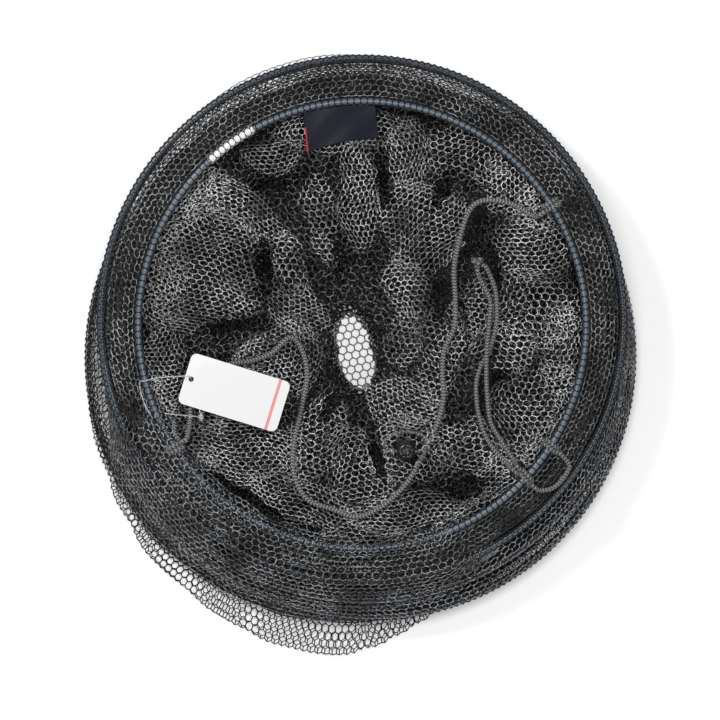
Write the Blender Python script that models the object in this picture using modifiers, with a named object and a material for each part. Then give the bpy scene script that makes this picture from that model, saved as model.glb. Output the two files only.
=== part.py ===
"""Fishing keepnet, lying collapsed on the ground with its mouth up.

Five sheathed wire hoops carry a tube of fine hexagonal netting. The netting between two hoops folds
flat when the upper hoop is let down, and the closed end of the net lies heaped inside the bottom hoop.
Lengths are in metres. The origin is on the ground under the middle of the pile, and +Z is up.
"""

import math

import bmesh
import bpy
from mathutils import Vector

MM = 0.001
TURN = 2 * math.pi

# Hoops: a spring wire in a plastic sheath, its ends joined in a sleeve
HOOP_DIAMETER = 345 * MM
MOUTH_DIAMETER = 295 * MM
WIRE_DIAMETER = 2.2 * MM
SHEATH_DIAMETER = 5.0 * MM
SHEATH_BORE = WIRE_DIAMETER + 0.6 * MM
SLEEVE_DIAMETER = 5.8 * MM
SLEEVE_BORE = WIRE_DIAMETER + 1.0 * MM
SLEEVE_LENGTH = 36 * MM
WIRE_END_GAP = 1.0 * MM
HOOP_SEGMENTS = 36
HOOP_SPACING = 13 * MM
GROUND_GAP = 0.1 * MM

# Where each hoop came to lie, and the angle of its sleeve
BOTTOM_CENTRE = (-9.5 * MM, -1.0 * MM)
LOWER_CENTRE = (6.3 * MM, 0.3 * MM)
MIDDLE_CENTRE = (2.1 * MM, 11.2 * MM)
UPPER_CENTRE = (-0.3 * MM, 24.0 * MM)
MOUTH_CENTRE = (-0.3 * MM, 20.7 * MM)
HOOPS = (
    ("bottom_hoop", BOTTOM_CENTRE, HOOP_DIAMETER, math.radians(25)),
    ("lower_hoop", LOWER_CENTRE, HOOP_DIAMETER, math.radians(155)),
    ("middle_hoop", MIDDLE_CENTRE, HOOP_DIAMETER, math.radians(275)),
    ("upper_hoop", UPPER_CENTRE, HOOP_DIAMETER, math.radians(195)),
    ("mouth_hoop", MOUTH_CENTRE, MOUTH_DIAMETER, math.radians(126)),
)
HEIGHTS = [SLEEVE_DIAMETER / 2 + GROUND_GAP + HOOP_SPACING * i for i in range(len(HOOPS))]
MOUTH_HEIGHT = HEIGHTS[-1]

# Netting
CLEARANCE = 0.3 * MM
NET_THICKNESS = 1.0 * MM
MESH_PITCH = 4.2 * MM
STRAND_WIDTH = 0.7 * MM
WALL_SEGMENTS = 40
WALL_SHOULDER = 0.25
WALL_NAMES = ("first_wall_net", "second_wall_net", "third_wall_net", "fourth_wall_net")
WALL_INNER_GAP = 1.6 * MM
OVERHANG = 0.6 * MM
BULGE_REACH = 23.5 * MM
BULGE_ANGLE = math.radians(256)
BULGE_SPREAD = math.radians(32)
BULGE_FLOOR_GAP = 1.0 * MM
BULGE_HEIGHT = 5.0 * MM
TIE_DIP_SPREAD = math.radians(14)
SIDE_BULGE_REACH = 3.4 * MM
SIDE_BULGE_ANGLE = math.radians(5)
SIDE_BULGE_SPREAD = math.radians(22)

# The heaped end of the net
HEAP_INSET = 5.5 * MM
HEAP_FOOT = 2.0 * MM
HEAP_DROP = 8.5 * MM
HEAP_SHOULDER = 2.0 * MM
HEAP_CREST = 3.5 * MM
HEAP_FOLDS = 9
HEAP_FOLD_DEPTH = 3.6 * MM
HEAP_ROUNDNESS = 0.65
HEAP_OPENING_ROWS = ((0.95, 0.74), (0.70, 0.52), (0.47, 0.30), (0.26, 0.12))
HEAP_OPENINGS_AROUND = 18
HEAP_RIB = math.radians(3)

# The flat bottom panel that shows through the hole in the heap
PANEL_CENTRE = (-4.9 * MM, 3.6 * MM)
PANEL_WIDTH = 27 * MM
PANEL_LENGTH = 54 * MM
PANEL_TILT = math.radians(12)
PANEL_THICKNESS = 0.8 * MM
PANEL_HEM = 0.9 * MM
PANEL_SEGMENTS = 48

# Sewn label
LABEL_LENGTH = 48 * MM
LABEL_DEPTH = 26 * MM
LABEL_THICKNESS = 0.6 * MM
LABEL_ANGLE = math.radians(96.1)
LABEL_DROP = 5.0 * MM
LABEL_RIPPLE = 0.5 * MM
LABEL_RIPPLES = 1.2
LABEL_COLUMNS = 8
LABEL_ROWS = 3

# Swing tag and its plastic loop
TAG_LENGTH = 68 * MM
TAG_WIDTH = 34.5 * MM
TAG_THICKNESS = 0.5 * MM
TAG_CORNER = 4 * MM
TAG_HOLE_DIAMETER = 3.4 * MM
TAG_HOLE_INSET = 4.4 * MM
TAG_CENTRE = (-84.4 * MM, -23.7 * MM)
TAG_DROP = 5.2 * MM
TAG_TURN = math.radians(-17.15)
TAG_SLOPE = math.radians(4.5)
LOOP_DIAMETER = 0.9 * MM
LOOP_STEP = 1.8 * MM
LOOP_OVER_ANGLE = math.radians(194.5)
LOOP_UNDER_ANGLE = math.radians(203)
LOOP_SLACK = 1.0 * MM
LOOP_DESCENT_RUN = 9.0 * MM
LOOP_DESCENT_LIFT = 2.4 * MM
LOOP_CORD_SHARE = 0.35
LOOP_HOOP_SHARE = 0.75
LOOP_HEAD_LENGTH = 6.0 * MM
LOOP_HEAD_DIAMETER = 3.2 * MM
LOOP_HEAD_ALONG = 18 * MM
LOOP_HEAD_GAP = 4.5 * MM

# Cords, and the angles at which they are tied round the mouth hoop
RIGHT_TIE_ANGLE = math.radians(32)
LEFT_TIE_ANGLE = math.radians(213)
HANDLE_TIE_ANGLE = math.radians(316.8)
BIGHT_TIE_ANGLE = math.radians(327)
TIE_ANGLES = (RIGHT_TIE_ANGLE, LEFT_TIE_ANGLE, HANDLE_TIE_ANGLE, BIGHT_TIE_ANGLE)
DRAWCORD_DIAMETER = 3.4 * MM
HANDLE_CORD_DIAMETER = 3.0 * MM
CORD_STEP = 8.0 * MM
TIE_LIFT = 1.0 * MM
HITCH_SEGMENTS = 12
KNOT_DIAMETER = 7.2 * MM
KNOT_ANGLE = math.radians(30.7)
KNOT_SHARE = 0.63
KNOT_LIFT = 1.6 * MM
KNOT_FLATNESS = 0.8
KNOT_EXIT_DOWN = math.radians(272)
KNOT_EXIT_UP = math.radians(328)

# Ball cord lock, with the route of its cord round its middle, in millimetres
LOCK_DIAMETER = 13 * MM
LOCK_BORE = 7.4 * MM
LOCK_FLOOR = 1.2 * MM
LOCK_ANGLE = math.radians(293.8)
LOCK_SHARE = 0.495
LOCK_TRAVEL = 1.5 * MM
LOCK_CORD_DIAMETER = 2.4 * MM
LOCK_CORD_LIFT = 0.5 * MM
LOCK_CORD_SLACK = 0.8 * MM
LOCK_CORD_STEP = 2.6 * MM
BUTTON_DIAMETER = 6.8 * MM
BUTTON_FOOT = 1.0 * MM
BUTTON_STAND = 1.2 * MM
BUTTON_EDGE = 0.5 * MM
SPRING_WIRE = 0.5 * MM
SPRING_DIAMETER = 4.8 * MM
SPRING_COILS = 2
SPRING_STEPS = 10
LOCK_CORD_ROUTE = (
    (-8.5, 0.0, 0.0),
    (0.0, 0.0, 0.0),
    (8.5, 0.0, 0.0),
    (13.5, 3.5, -0.5),
    (11.0, 10.0, 0.0),
    (0.0, 12.6, 0.4),
    (-11.0, 10.0, 0.0),
    (-13.5, 3.5, -0.5),
)

# Chosen by hand along the photographed cords, in millimetres: x, y and depth below the mouth hoop
DRAWCORD_ROUTE = (
    (112.2, 92.4, 3.4),
    (101.5, 99.0, 6.0),
    (89.5, 102.6, 7.6),
    (77.0, 102.0, 9.2),
    (69.6, 94.6, 11.2),
    (63.8, 77.0, 14.4),
    (60.4, 58.0, 18.6),
    (61.2, 38.0, 22.0),
    (60.6, 19.6, 22.4),
    (54.2, 4.8, 24.2),
    (52.8, -10.6, 25.2),
    (53.4, -28.0, 22.6),
    (48.2, -47.4, 20.4),
    (39.0, -66.4, 15.2),
    (28.6, -84.0, 12.2),
    (12.8, -98.6, 11.0),
    (-3.6, -105.6, 9.4),
    (-20.2, -100.4, 9.8),
    (-37.0, -93.6, 9.8),
    (-45.4, -76.4, 12.2),
    (-45.0, -56.0, 18.0),
    (-40.8, -36.0, 25.2),
    (-36.8, -14.0, 30.6),
    (-39.8, 3.4, 32.4),
    (-48.0, 12.6, 30.4),
    (-59.6, 2.6, 26.2),
    (-74.0, -3.2, 21.4),
    (-88.0, -5.4, 16.4),
    (-102.0, -14.6, 11.0),
    (-112.2, -28.0, 7.9),
    (-113.6, -42.0, 6.1),
)
DRAWCORD_TAIL_ROUTE = (
    (-124.0, -46.4, 2.0),
    (-124.4, -42.0, 3.8),
)
HANDLE_CORD_DOWN_ROUTE = (
    (78.0, 50.4, 16.2),
    (84.0, 37.2, 17.0),
    (83.8, 24.0, 16.0),
    (82.2, 9.0, 15.0),
    (81.6, -9.2, 15.4),
    (82.4, -29.0, 13.4),
    (84.6, -43.6, 11.4),
    (91.6, -56.0, 9.0),
    (99.4, -68.0, 4.8),
)
HANDLE_CORD_UP_ROUTE = (
    (96.2, -71.6, 4.8),
    (86.6, -61.2, 9.0),
    (80.0, -50.0, 12.0),
    (75.8, -34.0, 14.6),
    (75.1, -18.0, 18.0),
    (78.0, -7.0, 20.0),
    (84.0, 5.6, 17.4),
    (88.0, 19.8, 14.0),
    (88.6, 33.0, 16.4),
    (87.0, 46.0, 16.4),
)
HANDLE_BIGHT_ROUTE = (
    (117.2, -88.0, 0.8),
    (124.6, -86.6, 1.4),
    (131.4, -80.6, 1.6),
    (135.8, -72.0, 1.4),
)

PARTS_COLLECTION = "fishing_keepnet"
CUTTERS_COLLECTION = "cutters"


def clear_scene():
    for obj in list(bpy.data.objects):
        bpy.data.objects.remove(obj, do_unlink=True)
    for name in (PARTS_COLLECTION, CUTTERS_COLLECTION):
        bpy.context.scene.collection.children.link(bpy.data.collections.new(name))


def material(name, colour, roughness, metallic=0.0):
    made = bpy.data.materials.new(name)
    made.use_nodes = True
    shader = made.node_tree.nodes["Principled BSDF"]
    shader.inputs["Base Color"].default_value = (*colour, 1.0)
    shader.inputs["Roughness"].default_value = roughness
    shader.inputs["Metallic"].default_value = metallic
    return made


def add_object(name, data, finish=None, collection=PARTS_COLLECTION):
    obj = bpy.data.objects.new(name, data)
    bpy.data.collections[collection].objects.link(obj)
    if finish:
        data.materials.append(finish)
    return obj


def add_mesh(name, shape, finish=None, collection=PARTS_COLLECTION):
    """A bmesh made an object, with its faces turned outwards."""
    bmesh.ops.recalc_face_normals(shape, faces=shape.faces)
    data = bpy.data.meshes.new(name)
    shape.to_mesh(data)
    shape.free()
    return add_object(name, data, finish, collection)


def shade_round(obj):
    obj.data.shade_smooth()
    obj.data.set_sharp_from_angle(angle=math.radians(40))


def tube(name, points, diameter, finish, sides=8, cyclic=False, caps=True):
    """A curve object with a round section along straight runs between the points."""
    data = bpy.data.curves.new(name, "CURVE")
    data.dimensions = "3D"
    data.twist_mode = "Z_UP"
    data.bevel_depth = diameter / 2
    data.bevel_resolution = (sides - 4) // 2
    data.use_fill_caps = caps
    spline = data.splines.new("POLY")
    spline.points.add(len(points) - 1)
    for knot, place in zip(spline.points, points):
        knot.co = (*place, 1.0)
    spline.use_cyclic_u = cyclic
    return add_object(name, data, finish)


def flat_shape(name, outlines, thickness, finish):
    """A flat piece: the first outline filled, less the others."""
    data = bpy.data.curves.new(name, "CURVE")
    data.dimensions = "2D"
    data.fill_mode = "BOTH"
    data.extrude = thickness / 2
    for points in outlines:
        spline = data.splines.new("POLY")
        spline.points.add(len(points) - 1)
        for knot, place in zip(spline.points, points):
            knot.co = (place.x, place.y, 0.0, 1.0)
        spline.use_cyclic_u = True
    return add_object(name, data, finish)


def as_mesh(curve):
    """The curve object replaced by a mesh of the same name, with its caps joined on."""
    name = curve.name
    bpy.context.view_layer.update()
    data = bpy.data.meshes.new_from_object(curve.evaluated_get(bpy.context.evaluated_depsgraph_get()))
    shape = bmesh.new()
    shape.from_mesh(data)
    bmesh.ops.remove_doubles(shape, verts=shape.verts, dist=1e-6)
    shape.to_mesh(data)
    shape.free()
    bpy.data.objects.remove(curve, do_unlink=True)
    return add_object(name, data)


def cut(target, cutter, operation="DIFFERENCE"):
    modifier = target.modifiers.new(cutter.name, "BOOLEAN")
    modifier.operation = operation
    modifier.object = cutter
    cutter.hide_render = True
    cutter.display_type = "WIRE"


def smooth_route(knots, step, cyclic=False, led_in=False, led_out=False):
    """Points about one step apart on a Catmull-Rom curve through the knots.

    A led end keeps its first or last stretch as one straight run.
    """
    last = len(knots) if cyclic else len(knots) - 1
    fine = []
    for i in range(int(led_in), last - int(led_out)):
        before = knots[(i - 1) % len(knots)] if cyclic or i else knots[0] * 2 - knots[1]
        start = knots[i]
        end = knots[(i + 1) % len(knots)]
        if cyclic or i + 2 < len(knots):
            after = knots[(i + 2) % len(knots)]
        else:
            after = end * 2 - start
        for part in range(24):
            t = part / 24
            linear = (end - before) * t
            square = (2 * before - 5 * start + 4 * end - after) * t**2
            cube = (3 * start - before - 3 * end + after) * t**3
            fine.append(start + 0.5 * (linear + square + cube))
    fine.append(knots[0].copy() if cyclic else knots[last - int(led_out)].copy())
    lengths = [0.0]
    for a, b in zip(fine, fine[1:]):
        lengths.append(lengths[-1] + (b - a).length)
    count = max(2, round(lengths[-1] / step))
    points = [knots[0]] if led_in else []
    at = 0
    for i in range(count + (not cyclic)):
        wanted = lengths[-1] * i / count
        while at < len(fine) - 2 and lengths[at + 1] < wanted:
            at += 1
        share = (wanted - lengths[at]) / max(lengths[at + 1] - lengths[at], 1e-9)
        points.append(fine[at].lerp(fine[at + 1], min(share, 1.0)))
    return points + ([knots[-1]] if led_out else [])


def direction(angle):
    return Vector((math.cos(angle), math.sin(angle), 0.0))


def circle_point(centre, radius, angle, height=0.0):
    return Vector((*centre, height)) + direction(angle) * radius


def mouth_spot(angle, height):
    """The middle of the mouth hoop's sheath at an angle, and the way out from it, square to its facet."""
    pitch = TURN / HOOP_SEGMENTS
    facing = (math.floor(angle / pitch) + 0.5) * pitch
    reach = MOUTH_DIAMETER / 2 * math.cos(pitch / 2) / math.cos(angle - facing)
    return circle_point(MOUTH_CENTRE, reach, angle, height), direction(facing)


def hoop_path(radius, start, end):
    """Points along a regular polygon round the hoop, so that wire, sheath and sleeve bend together."""
    pitch = TURN / HOOP_SEGMENTS

    def on_polygon(angle):
        low = math.floor(angle / pitch)
        share = angle / pitch - low
        first = direction(low * pitch) * radius
        return first.lerp(direction((low + 1) * pitch) * radius, share)

    margin = 0.05 * pitch
    corners = [i for i in range(2 * HOOP_SEGMENTS + 1) if start + margin < i * pitch < end - margin]
    return [on_polygon(start)] + [on_polygon(i * pitch) for i in corners] + [on_polygon(end)]


def hollow(tube_mesh, wall):
    """Gives an open tube a wall that grows inwards."""
    thick = tube_mesh.modifiers.new("wall", "SOLIDIFY")
    thick.thickness = wall
    thick.offset = -1.0


def hoop(level, sheath_finish, wire_finish, sleeve_finish):
    """One hoop in three pieces, placed by an empty at its middle."""
    name, centre, diameter, sleeve_angle = HOOPS[level]
    rig = add_object(name + "_rig", None)
    rig.location = (*centre, HEIGHTS[level])
    radius = diameter / 2
    half_sleeve = SLEEVE_LENGTH / 2 / radius
    sheath_end = half_sleeve + CLEARANCE / radius
    wire_end = WIRE_END_GAP / 2 / radius

    sheath_path = hoop_path(radius, sleeve_angle + sheath_end, sleeve_angle + TURN - sheath_end)
    sheath = as_mesh(tube(name + "_sheath", sheath_path, SHEATH_DIAMETER, sheath_finish, 6, caps=False))
    hollow(sheath, (SHEATH_DIAMETER - SHEATH_BORE) / 2)

    wire_path = hoop_path(radius, sleeve_angle + wire_end, sleeve_angle + TURN - wire_end)
    wire = tube(name + "_wire", wire_path, WIRE_DIAMETER, wire_finish, 6)

    sleeve_path = hoop_path(radius, sleeve_angle - half_sleeve, sleeve_angle + half_sleeve)
    sleeve = as_mesh(tube(name + "_sleeve", sleeve_path, SLEEVE_DIAMETER, sleeve_finish, 8, caps=False))
    hollow(sleeve, (SLEEVE_DIAMETER - SLEEVE_BORE) / 2)

    for piece in (sheath, wire, sleeve):
        piece.parent = rig


def bump(angle, middle, spread, power=2):
    """1 at the middle angle, falling to 0 within two spreads; a higher power has a flatter top."""
    away = (angle - middle + math.pi) % TURN - math.pi
    return math.exp(-(abs(away / spread) ** power))


def ring_of_quads(shape, rings, closed, is_open=None):
    """Faces between neighbouring rings of vertices; a closed section also joins its ends.

    No face is made where is_open, given the numbers of the ring and of the place on it, says so.
    """
    for i, ring in enumerate(rings):
        following = rings[(i + 1) % len(rings)]
        for j in range(len(ring) if closed else len(ring) - 1):
            if is_open and is_open(i, j):
                continue
            k = (j + 1) % len(ring)
            shape.faces.new((ring[j], ring[k], following[k], following[j]))


def heap_radius():
    """The widest circle round the mouth's middle that clears the inside of every hoop, less the inset."""
    room = []
    for _, centre, diameter, _ in HOOPS:
        offset = math.dist(centre, MOUTH_CENTRE)
        room.append(diameter / 2 - SHEATH_DIAMETER / 2 - offset)
    return min(room) - HEAP_INSET


def wall_net(level, finish):
    """Folded netting between two hoops: a ring of six-cornered section, lofted round the pile.

    The netting reaches out past the hoops. The first wall sags to the ground in a wide bulge, and the
    last one dips where a cord is tied to the mouth hoop.
    """
    _, low_centre, low_diameter, _ = HOOPS[level]
    _, high_centre, high_diameter, _ = HOOPS[level + 1]
    bottom = HEIGHTS[level] + SLEEVE_DIAMETER / 2 + CLEARANCE
    top = HEIGHTS[level + 1] - SLEEVE_DIAMETER / 2 - CLEARANCE
    low_edge = bottom + WALL_SHOULDER * (top - bottom)
    high_edge = top - WALL_SHOULDER * (top - bottom)
    inner = heap_radius() + HEAP_FOOT + WALL_INNER_GAP
    widest = max(low_diameter, high_diameter) / 2 + SHEATH_DIAMETER / 2 + OVERHANG
    deepest_dip = max(DRAWCORD_DIAMETER, HANDLE_CORD_DIAMETER) + CLEARANCE
    shape = bmesh.new()
    rings = []
    for i in range(WALL_SEGMENTS):
        angle = TURN * i / WALL_SEGMENTS
        sag = bump(angle, BULGE_ANGLE, BULGE_SPREAD) if level == 0 else 0.0
        dip = max(bump(angle, tie, TIE_DIP_SPREAD, 4) for tie in TIE_ANGLES) if level == 3 else 0.0
        dip *= deepest_dip
        outer = widest + BULGE_REACH * sag
        outer += SIDE_BULGE_REACH * bump(angle, SIDE_BULGE_ANGLE, SIDE_BULGE_SPREAD)
        outer_low = low_edge + (BULGE_FLOOR_GAP - low_edge) * sag
        outer_high = high_edge + (BULGE_FLOOR_GAP + BULGE_HEIGHT - high_edge) * sag
        section = (
            circle_point(MOUTH_CENTRE, inner, angle, low_edge),
            circle_point(low_centre, low_diameter / 2, angle, bottom),
            circle_point(low_centre, outer, angle, outer_low),
            circle_point(low_centre, outer, angle, outer_high),
            circle_point(high_centre, high_diameter / 2, angle, top - dip),
            circle_point(MOUTH_CENTRE, inner, angle, max(high_edge - dip, low_edge + NET_THICKNESS)),
        )
        rings.append([shape.verts.new(corner) for corner in section])
    ring_of_quads(shape, rings, True)
    add_mesh(WALL_NAMES[level], shape, finish)


def panel_place(across, along):
    """A point of the bottom panel, given along its short and long axes from its middle."""
    cos, sin = math.cos(PANEL_TILT), math.sin(PANEL_TILT)
    x = PANEL_CENTRE[0] + across * cos - along * sin
    y = PANEL_CENTRE[1] + across * sin + along * cos
    return Vector((x, y, 0))


def window_point(angle, inset=0.0):
    """A point on the edge of the window that the heap leaves over the panel."""
    across = (PANEL_WIDTH / 2 - inset) * math.cos(angle - PANEL_TILT)
    along = (PANEL_LENGTH / 2 - inset) * math.sin(angle - PANEL_TILT)
    return panel_place(across, along)


def heap_fold(angle, share):
    """The height of the heap's radial folds, from -1 to 1."""
    return math.sin(HEAP_FOLDS * angle + 1.1 * math.sin(2 * angle + 0.6) + 0.8 * share)


def heap_place(angle, share):
    """A point of the heap's hollow, from the window's edge at share 0 to the crest at share 1."""
    height = MOUTH_HEIGHT - HEAP_DROP
    crest = circle_point(MOUTH_CENTRE, heap_radius() - HEAP_CREST, angle)
    place = window_point(angle).lerp(crest, share)
    place.z = height * share**HEAP_ROUNDNESS
    place.z += HEAP_FOLD_DEPTH * 4 * share * (1 - share) * heap_fold(angle, share)
    return place


def lying_on_heap(angle, share, reach):
    """The middle of a round piece that lies on the heap, reaching this far from it to the netting."""
    place = heap_place(angle, share)
    round_heap = heap_place(angle + 0.01, share) - place
    up_heap = heap_place(angle, share + 0.01) - place
    upright = abs(round_heap.cross(up_heap).normalized().z)
    return place + Vector((0, 0, (reach + NET_THICKNESS) / upright))


def heap_net(finish):
    """The closed end of the net: flat on the ground, up over a crest and down in folds to the window.

    Its meshes stand here as a coarse grid of openings between radial ribs and rings.
    """
    _, centre, diameter, _ = HOOPS[0]
    edge = diameter / 2 - SHEATH_DIAMETER / 2 - CLEARANCE
    radius = heap_radius()
    height = MOUTH_HEIGHT - HEAP_DROP
    stations = [1.0, *(edge for row in HEAP_OPENING_ROWS for edge in row), 0.0]
    pitch = TURN / HEAP_OPENINGS_AROUND
    angles = []
    for i in range(HEAP_OPENINGS_AROUND):
        angles += [pitch * i, pitch * i + HEAP_RIB, pitch * i + (pitch + HEAP_RIB) / 2]
    shape = bmesh.new()
    rings = []
    for angle in angles:
        places = [
            circle_point(centre, edge, angle),
            circle_point(MOUTH_CENTRE, radius + HEAP_FOOT, angle),
            circle_point(MOUTH_CENTRE, radius, angle, height - HEAP_SHOULDER),
        ]
        places += [heap_place(angle, share) for share in stations]
        rings.append([shape.verts.new(place) for place in places])
    first_row = len(places) - len(stations) + 1
    open_rows = range(first_row, first_row + 2 * len(HEAP_OPENING_ROWS), 2)
    ring_of_quads(shape, rings, False, lambda i, j: i % 3 > 0 and j in open_rows)
    obj = add_mesh("heap_net", shape, finish)
    thick = obj.modifiers.new("netting", "SOLIDIFY")
    thick.thickness = NET_THICKNESS
    thick.offset = -1.0
    thick.use_even_offset = True


def bottom_panel(finish):
    """A flat piece of the hexagonal netting with a plain hem, its meshes open."""
    inset = NET_THICKNESS + CLEARANCE
    outlines = [[window_point(TURN * i / PANEL_SEGMENTS, inset) for i in range(PANEL_SEGMENTS)]]
    hole_radius = (MESH_PITCH - STRAND_WIDTH) / 2 / math.cos(math.pi / 6)
    margin = inset + PANEL_HEM + hole_radius
    rows = int(PANEL_LENGTH / MESH_PITCH)
    for row in range(-rows, rows + 1):
        for column in range(-rows, rows + 1):
            across = (column + row / 2) * MESH_PITCH
            along = row * MESH_PITCH * math.sin(math.pi / 3)
            room = (PANEL_WIDTH / 2 - margin, PANEL_LENGTH / 2 - margin)
            if math.hypot(across / room[0], along / room[1]) > 1:
                continue
            corners = [direction(TURN * (corner + 0.5) / 6) * hole_radius for corner in range(6)]
            outlines.append([panel_place(across + c.x, along + c.y) for c in corners])
    obj = flat_shape("bottom_panel_net", outlines, PANEL_THICKNESS, finish)
    obj.location.z = PANEL_THICKNESS / 2


def sewn_label(finish):
    """A rippled satin strip that starts at the mouth hoop, follows its facets and lies inwards."""
    inward = -direction(LABEL_ANGLE)
    shape = bmesh.new()
    bmesh.ops.create_grid(shape, x_segments=LABEL_COLUMNS, y_segments=LABEL_ROWS, size=0.5)
    for vert in shape.verts:
        along = vert.co.x
        across = vert.co.y + 0.5
        drop = across * (LABEL_DROP + LABEL_RIPPLE * math.sin(along * TURN * LABEL_RIPPLES))
        angle = LABEL_ANGLE - along * LABEL_LENGTH / (MOUTH_DIAMETER / 2)
        hem, _ = mouth_spot(angle, MOUTH_HEIGHT - drop)
        vert.co = hem + inward * (SHEATH_DIAMETER / 2 + 2 * CLEARANCE + across * LABEL_DEPTH)
    obj = add_mesh("sewn_label", shape, finish)
    thick = obj.modifiers.new("satin", "SOLIDIFY")
    thick.thickness = LABEL_THICKNESS
    thick.offset = 0.0


def swing_tag(finish):
    """A card with round corners and a punched hole."""
    outline = []
    for quarter, (x_side, y_side) in enumerate(((1, 1), (-1, 1), (-1, -1), (1, -1))):
        x = x_side * (TAG_LENGTH / 2 - TAG_CORNER)
        y = y_side * (TAG_WIDTH / 2 - TAG_CORNER)
        for step in range(5):
            turn = TURN / 4 * (quarter + step / 4)
            outline.append(Vector((x, y, 0)) + direction(turn) * TAG_CORNER)
    hole_middle = Vector((TAG_HOLE_INSET - TAG_LENGTH / 2, 0, 0))
    hole = [hole_middle + direction(TURN * i / 12) * TAG_HOLE_DIAMETER / 2 for i in range(12)]
    obj = flat_shape("swing_tag", [outline, hole], TAG_THICKNESS, finish)
    obj.location = (*TAG_CENTRE, MOUTH_HEIGHT - TAG_DROP)
    obj.rotation_euler = (0.0, TAG_SLOPE, TAG_TURN)


def tag_place(along, across, lift):
    """A point given in the tag's own plane, from its middle, lifted off its face."""
    level = along * math.cos(TAG_SLOPE) + lift * math.sin(TAG_SLOPE)
    height = lift * math.cos(TAG_SLOPE) - along * math.sin(TAG_SLOPE)
    turned = direction(TAG_TURN) * level + direction(TAG_TURN + math.pi / 2) * across
    return Vector((*TAG_CENTRE, MOUTH_HEIGHT - TAG_DROP + height)) + turned


def tag_loop(finish):
    """A thin plastic loop through the tag's hole and round the mouth hoop, closed in a small head."""
    radius = MOUTH_DIAMETER / 2
    round_hoop = (SHEATH_DIAMETER + LOOP_DIAMETER) / 2 + 2 * CLEARANCE
    under_tag = -TAG_THICKNESS / 2 - LOOP_DIAMETER / 2 - 2 * CLEARANCE
    hole = TAG_HOLE_INSET - TAG_LENGTH / 2
    middle_angle = (LOOP_OVER_ANGLE + LOOP_UNDER_ANGLE) / 2
    head = tag_place(LOOP_HEAD_ALONG - TAG_LENGTH / 2, -TAG_WIDTH / 2 - LOOP_HEAD_GAP, -LOOP_DIAMETER)
    low_crossing = circle_point(MOUTH_CENTRE, radius, LOOP_UNDER_ANGLE, MOUTH_HEIGHT - round_hoop)
    over_cord = head.lerp(low_crossing, LOOP_CORD_SHARE)
    over_cord.z = low_crossing.z
    near_hoop = head.lerp(low_crossing, LOOP_HOOP_SHARE)
    near_hoop.z = low_crossing.z
    outside = radius + round_hoop
    down = MOUTH_HEIGHT + LOOP_DESCENT_LIFT
    knots = [
        head,
        over_cord,
        near_hoop,
        low_crossing,
        circle_point(MOUTH_CENTRE, outside, LOOP_UNDER_ANGLE, MOUTH_HEIGHT),
        circle_point(MOUTH_CENTRE, outside + LOOP_SLACK, middle_angle, MOUTH_HEIGHT),
        circle_point(MOUTH_CENTRE, outside, LOOP_OVER_ANGLE, MOUTH_HEIGHT + LOOP_SLACK),
        circle_point(MOUTH_CENTRE, radius, LOOP_OVER_ANGLE, MOUTH_HEIGHT + round_hoop),
        circle_point(MOUTH_CENTRE, radius - LOOP_DESCENT_RUN, LOOP_OVER_ANGLE, down),
        tag_place(hole - TAG_HOLE_DIAMETER, 1.2 * MM, 2.8 * MM),
        tag_place(hole - 0.5 * MM, 0.2 * MM, 0.5 * MM),
        tag_place(hole + 0.5 * MM, -0.4 * MM, -0.8 * MM),
        tag_place(hole + TAG_HOLE_DIAMETER, -TAG_HOLE_DIAMETER, under_tag),
        tag_place(hole + 8.0 * MM, -12 * MM, under_tag),
        head,
    ]
    strand = as_mesh(tube("tag_loop", smooth_route(knots, LOOP_STEP), LOOP_DIAMETER, finish, 6))
    ends = bmesh.new()
    bmesh.ops.create_uvsphere(ends, u_segments=10, v_segments=6, radius=LOOP_HEAD_DIAMETER / 2)
    for vert in ends.verts:
        vert.co.y *= LOOP_HEAD_LENGTH / LOOP_HEAD_DIAMETER
        vert.co += head
    cut(strand, add_mesh("tag_loop_head", ends, None, CUTTERS_COLLECTION), "UNION")


def by_mouth(route):
    """A route's points in metres, with its depths below the mouth hoop made heights."""
    return [Vector((x * MM, y * MM, MOUTH_HEIGHT - depth * MM)) for x, y, depth in route]


def hitch(name, angle, cord_diameter, finish):
    """Two turns of a cord round the mouth hoop, drawn tight side by side."""
    bore = SHEATH_DIAMETER / 2 + CLEARANCE
    centre, outward = mouth_spot(angle, MOUTH_HEIGHT)
    along = Vector((-outward.y, outward.x, 0))
    shape = bmesh.new()
    rings = []
    for i in range(HITCH_SEGMENTS):
        turn = TURN * i / HITCH_SEGMENTS
        spoke = outward * math.cos(turn) + Vector((0, 0, math.sin(turn)))
        ring = []
        for side in range(8):
            around = TURN * (side + 0.5) / 8
            reach = bore + cord_diameter / 2 * (1 + math.cos(around))
            ring.append(shape.verts.new(centre + spoke * reach + along * math.sin(around) * cord_diameter))
        rings.append(ring)
    ring_of_quads(shape, rings, True)
    shade_round(add_mesh(name, shape, finish))


def hitch_lead(angle, cord_diameter, way, step=0.0):
    """The straight bit of cord that leaves a hitch square to the hoop.

    The way is 1 to the outside of the mouth and -1 to the inside, and the step goes to the side of the
    hitch's middle.
    """
    centre, outward = mouth_spot(angle, MOUTH_HEIGHT + TIE_LIFT)
    start = centre + Vector((-outward.y, outward.x, 0)) * step
    start += outward * way * (SHEATH_DIAMETER / 2 + cord_diameter + 2 * CLEARANCE)
    return [start, start + outward * way * cord_diameter]


def hitch_tail(angle, cord_diameter):
    """The straight bit of cord that leaves a hitch along the inside of the hoop."""
    centre, outward = mouth_spot(angle, MOUTH_HEIGHT)
    back = Vector((outward.y, -outward.x, 0))
    start = centre - outward * (SHEATH_DIAMETER / 2 + cord_diameter / 2 + 2 * CLEARANCE)
    start += back * (cord_diameter + CLEARANCE)
    return [start, start + back * cord_diameter]


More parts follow.
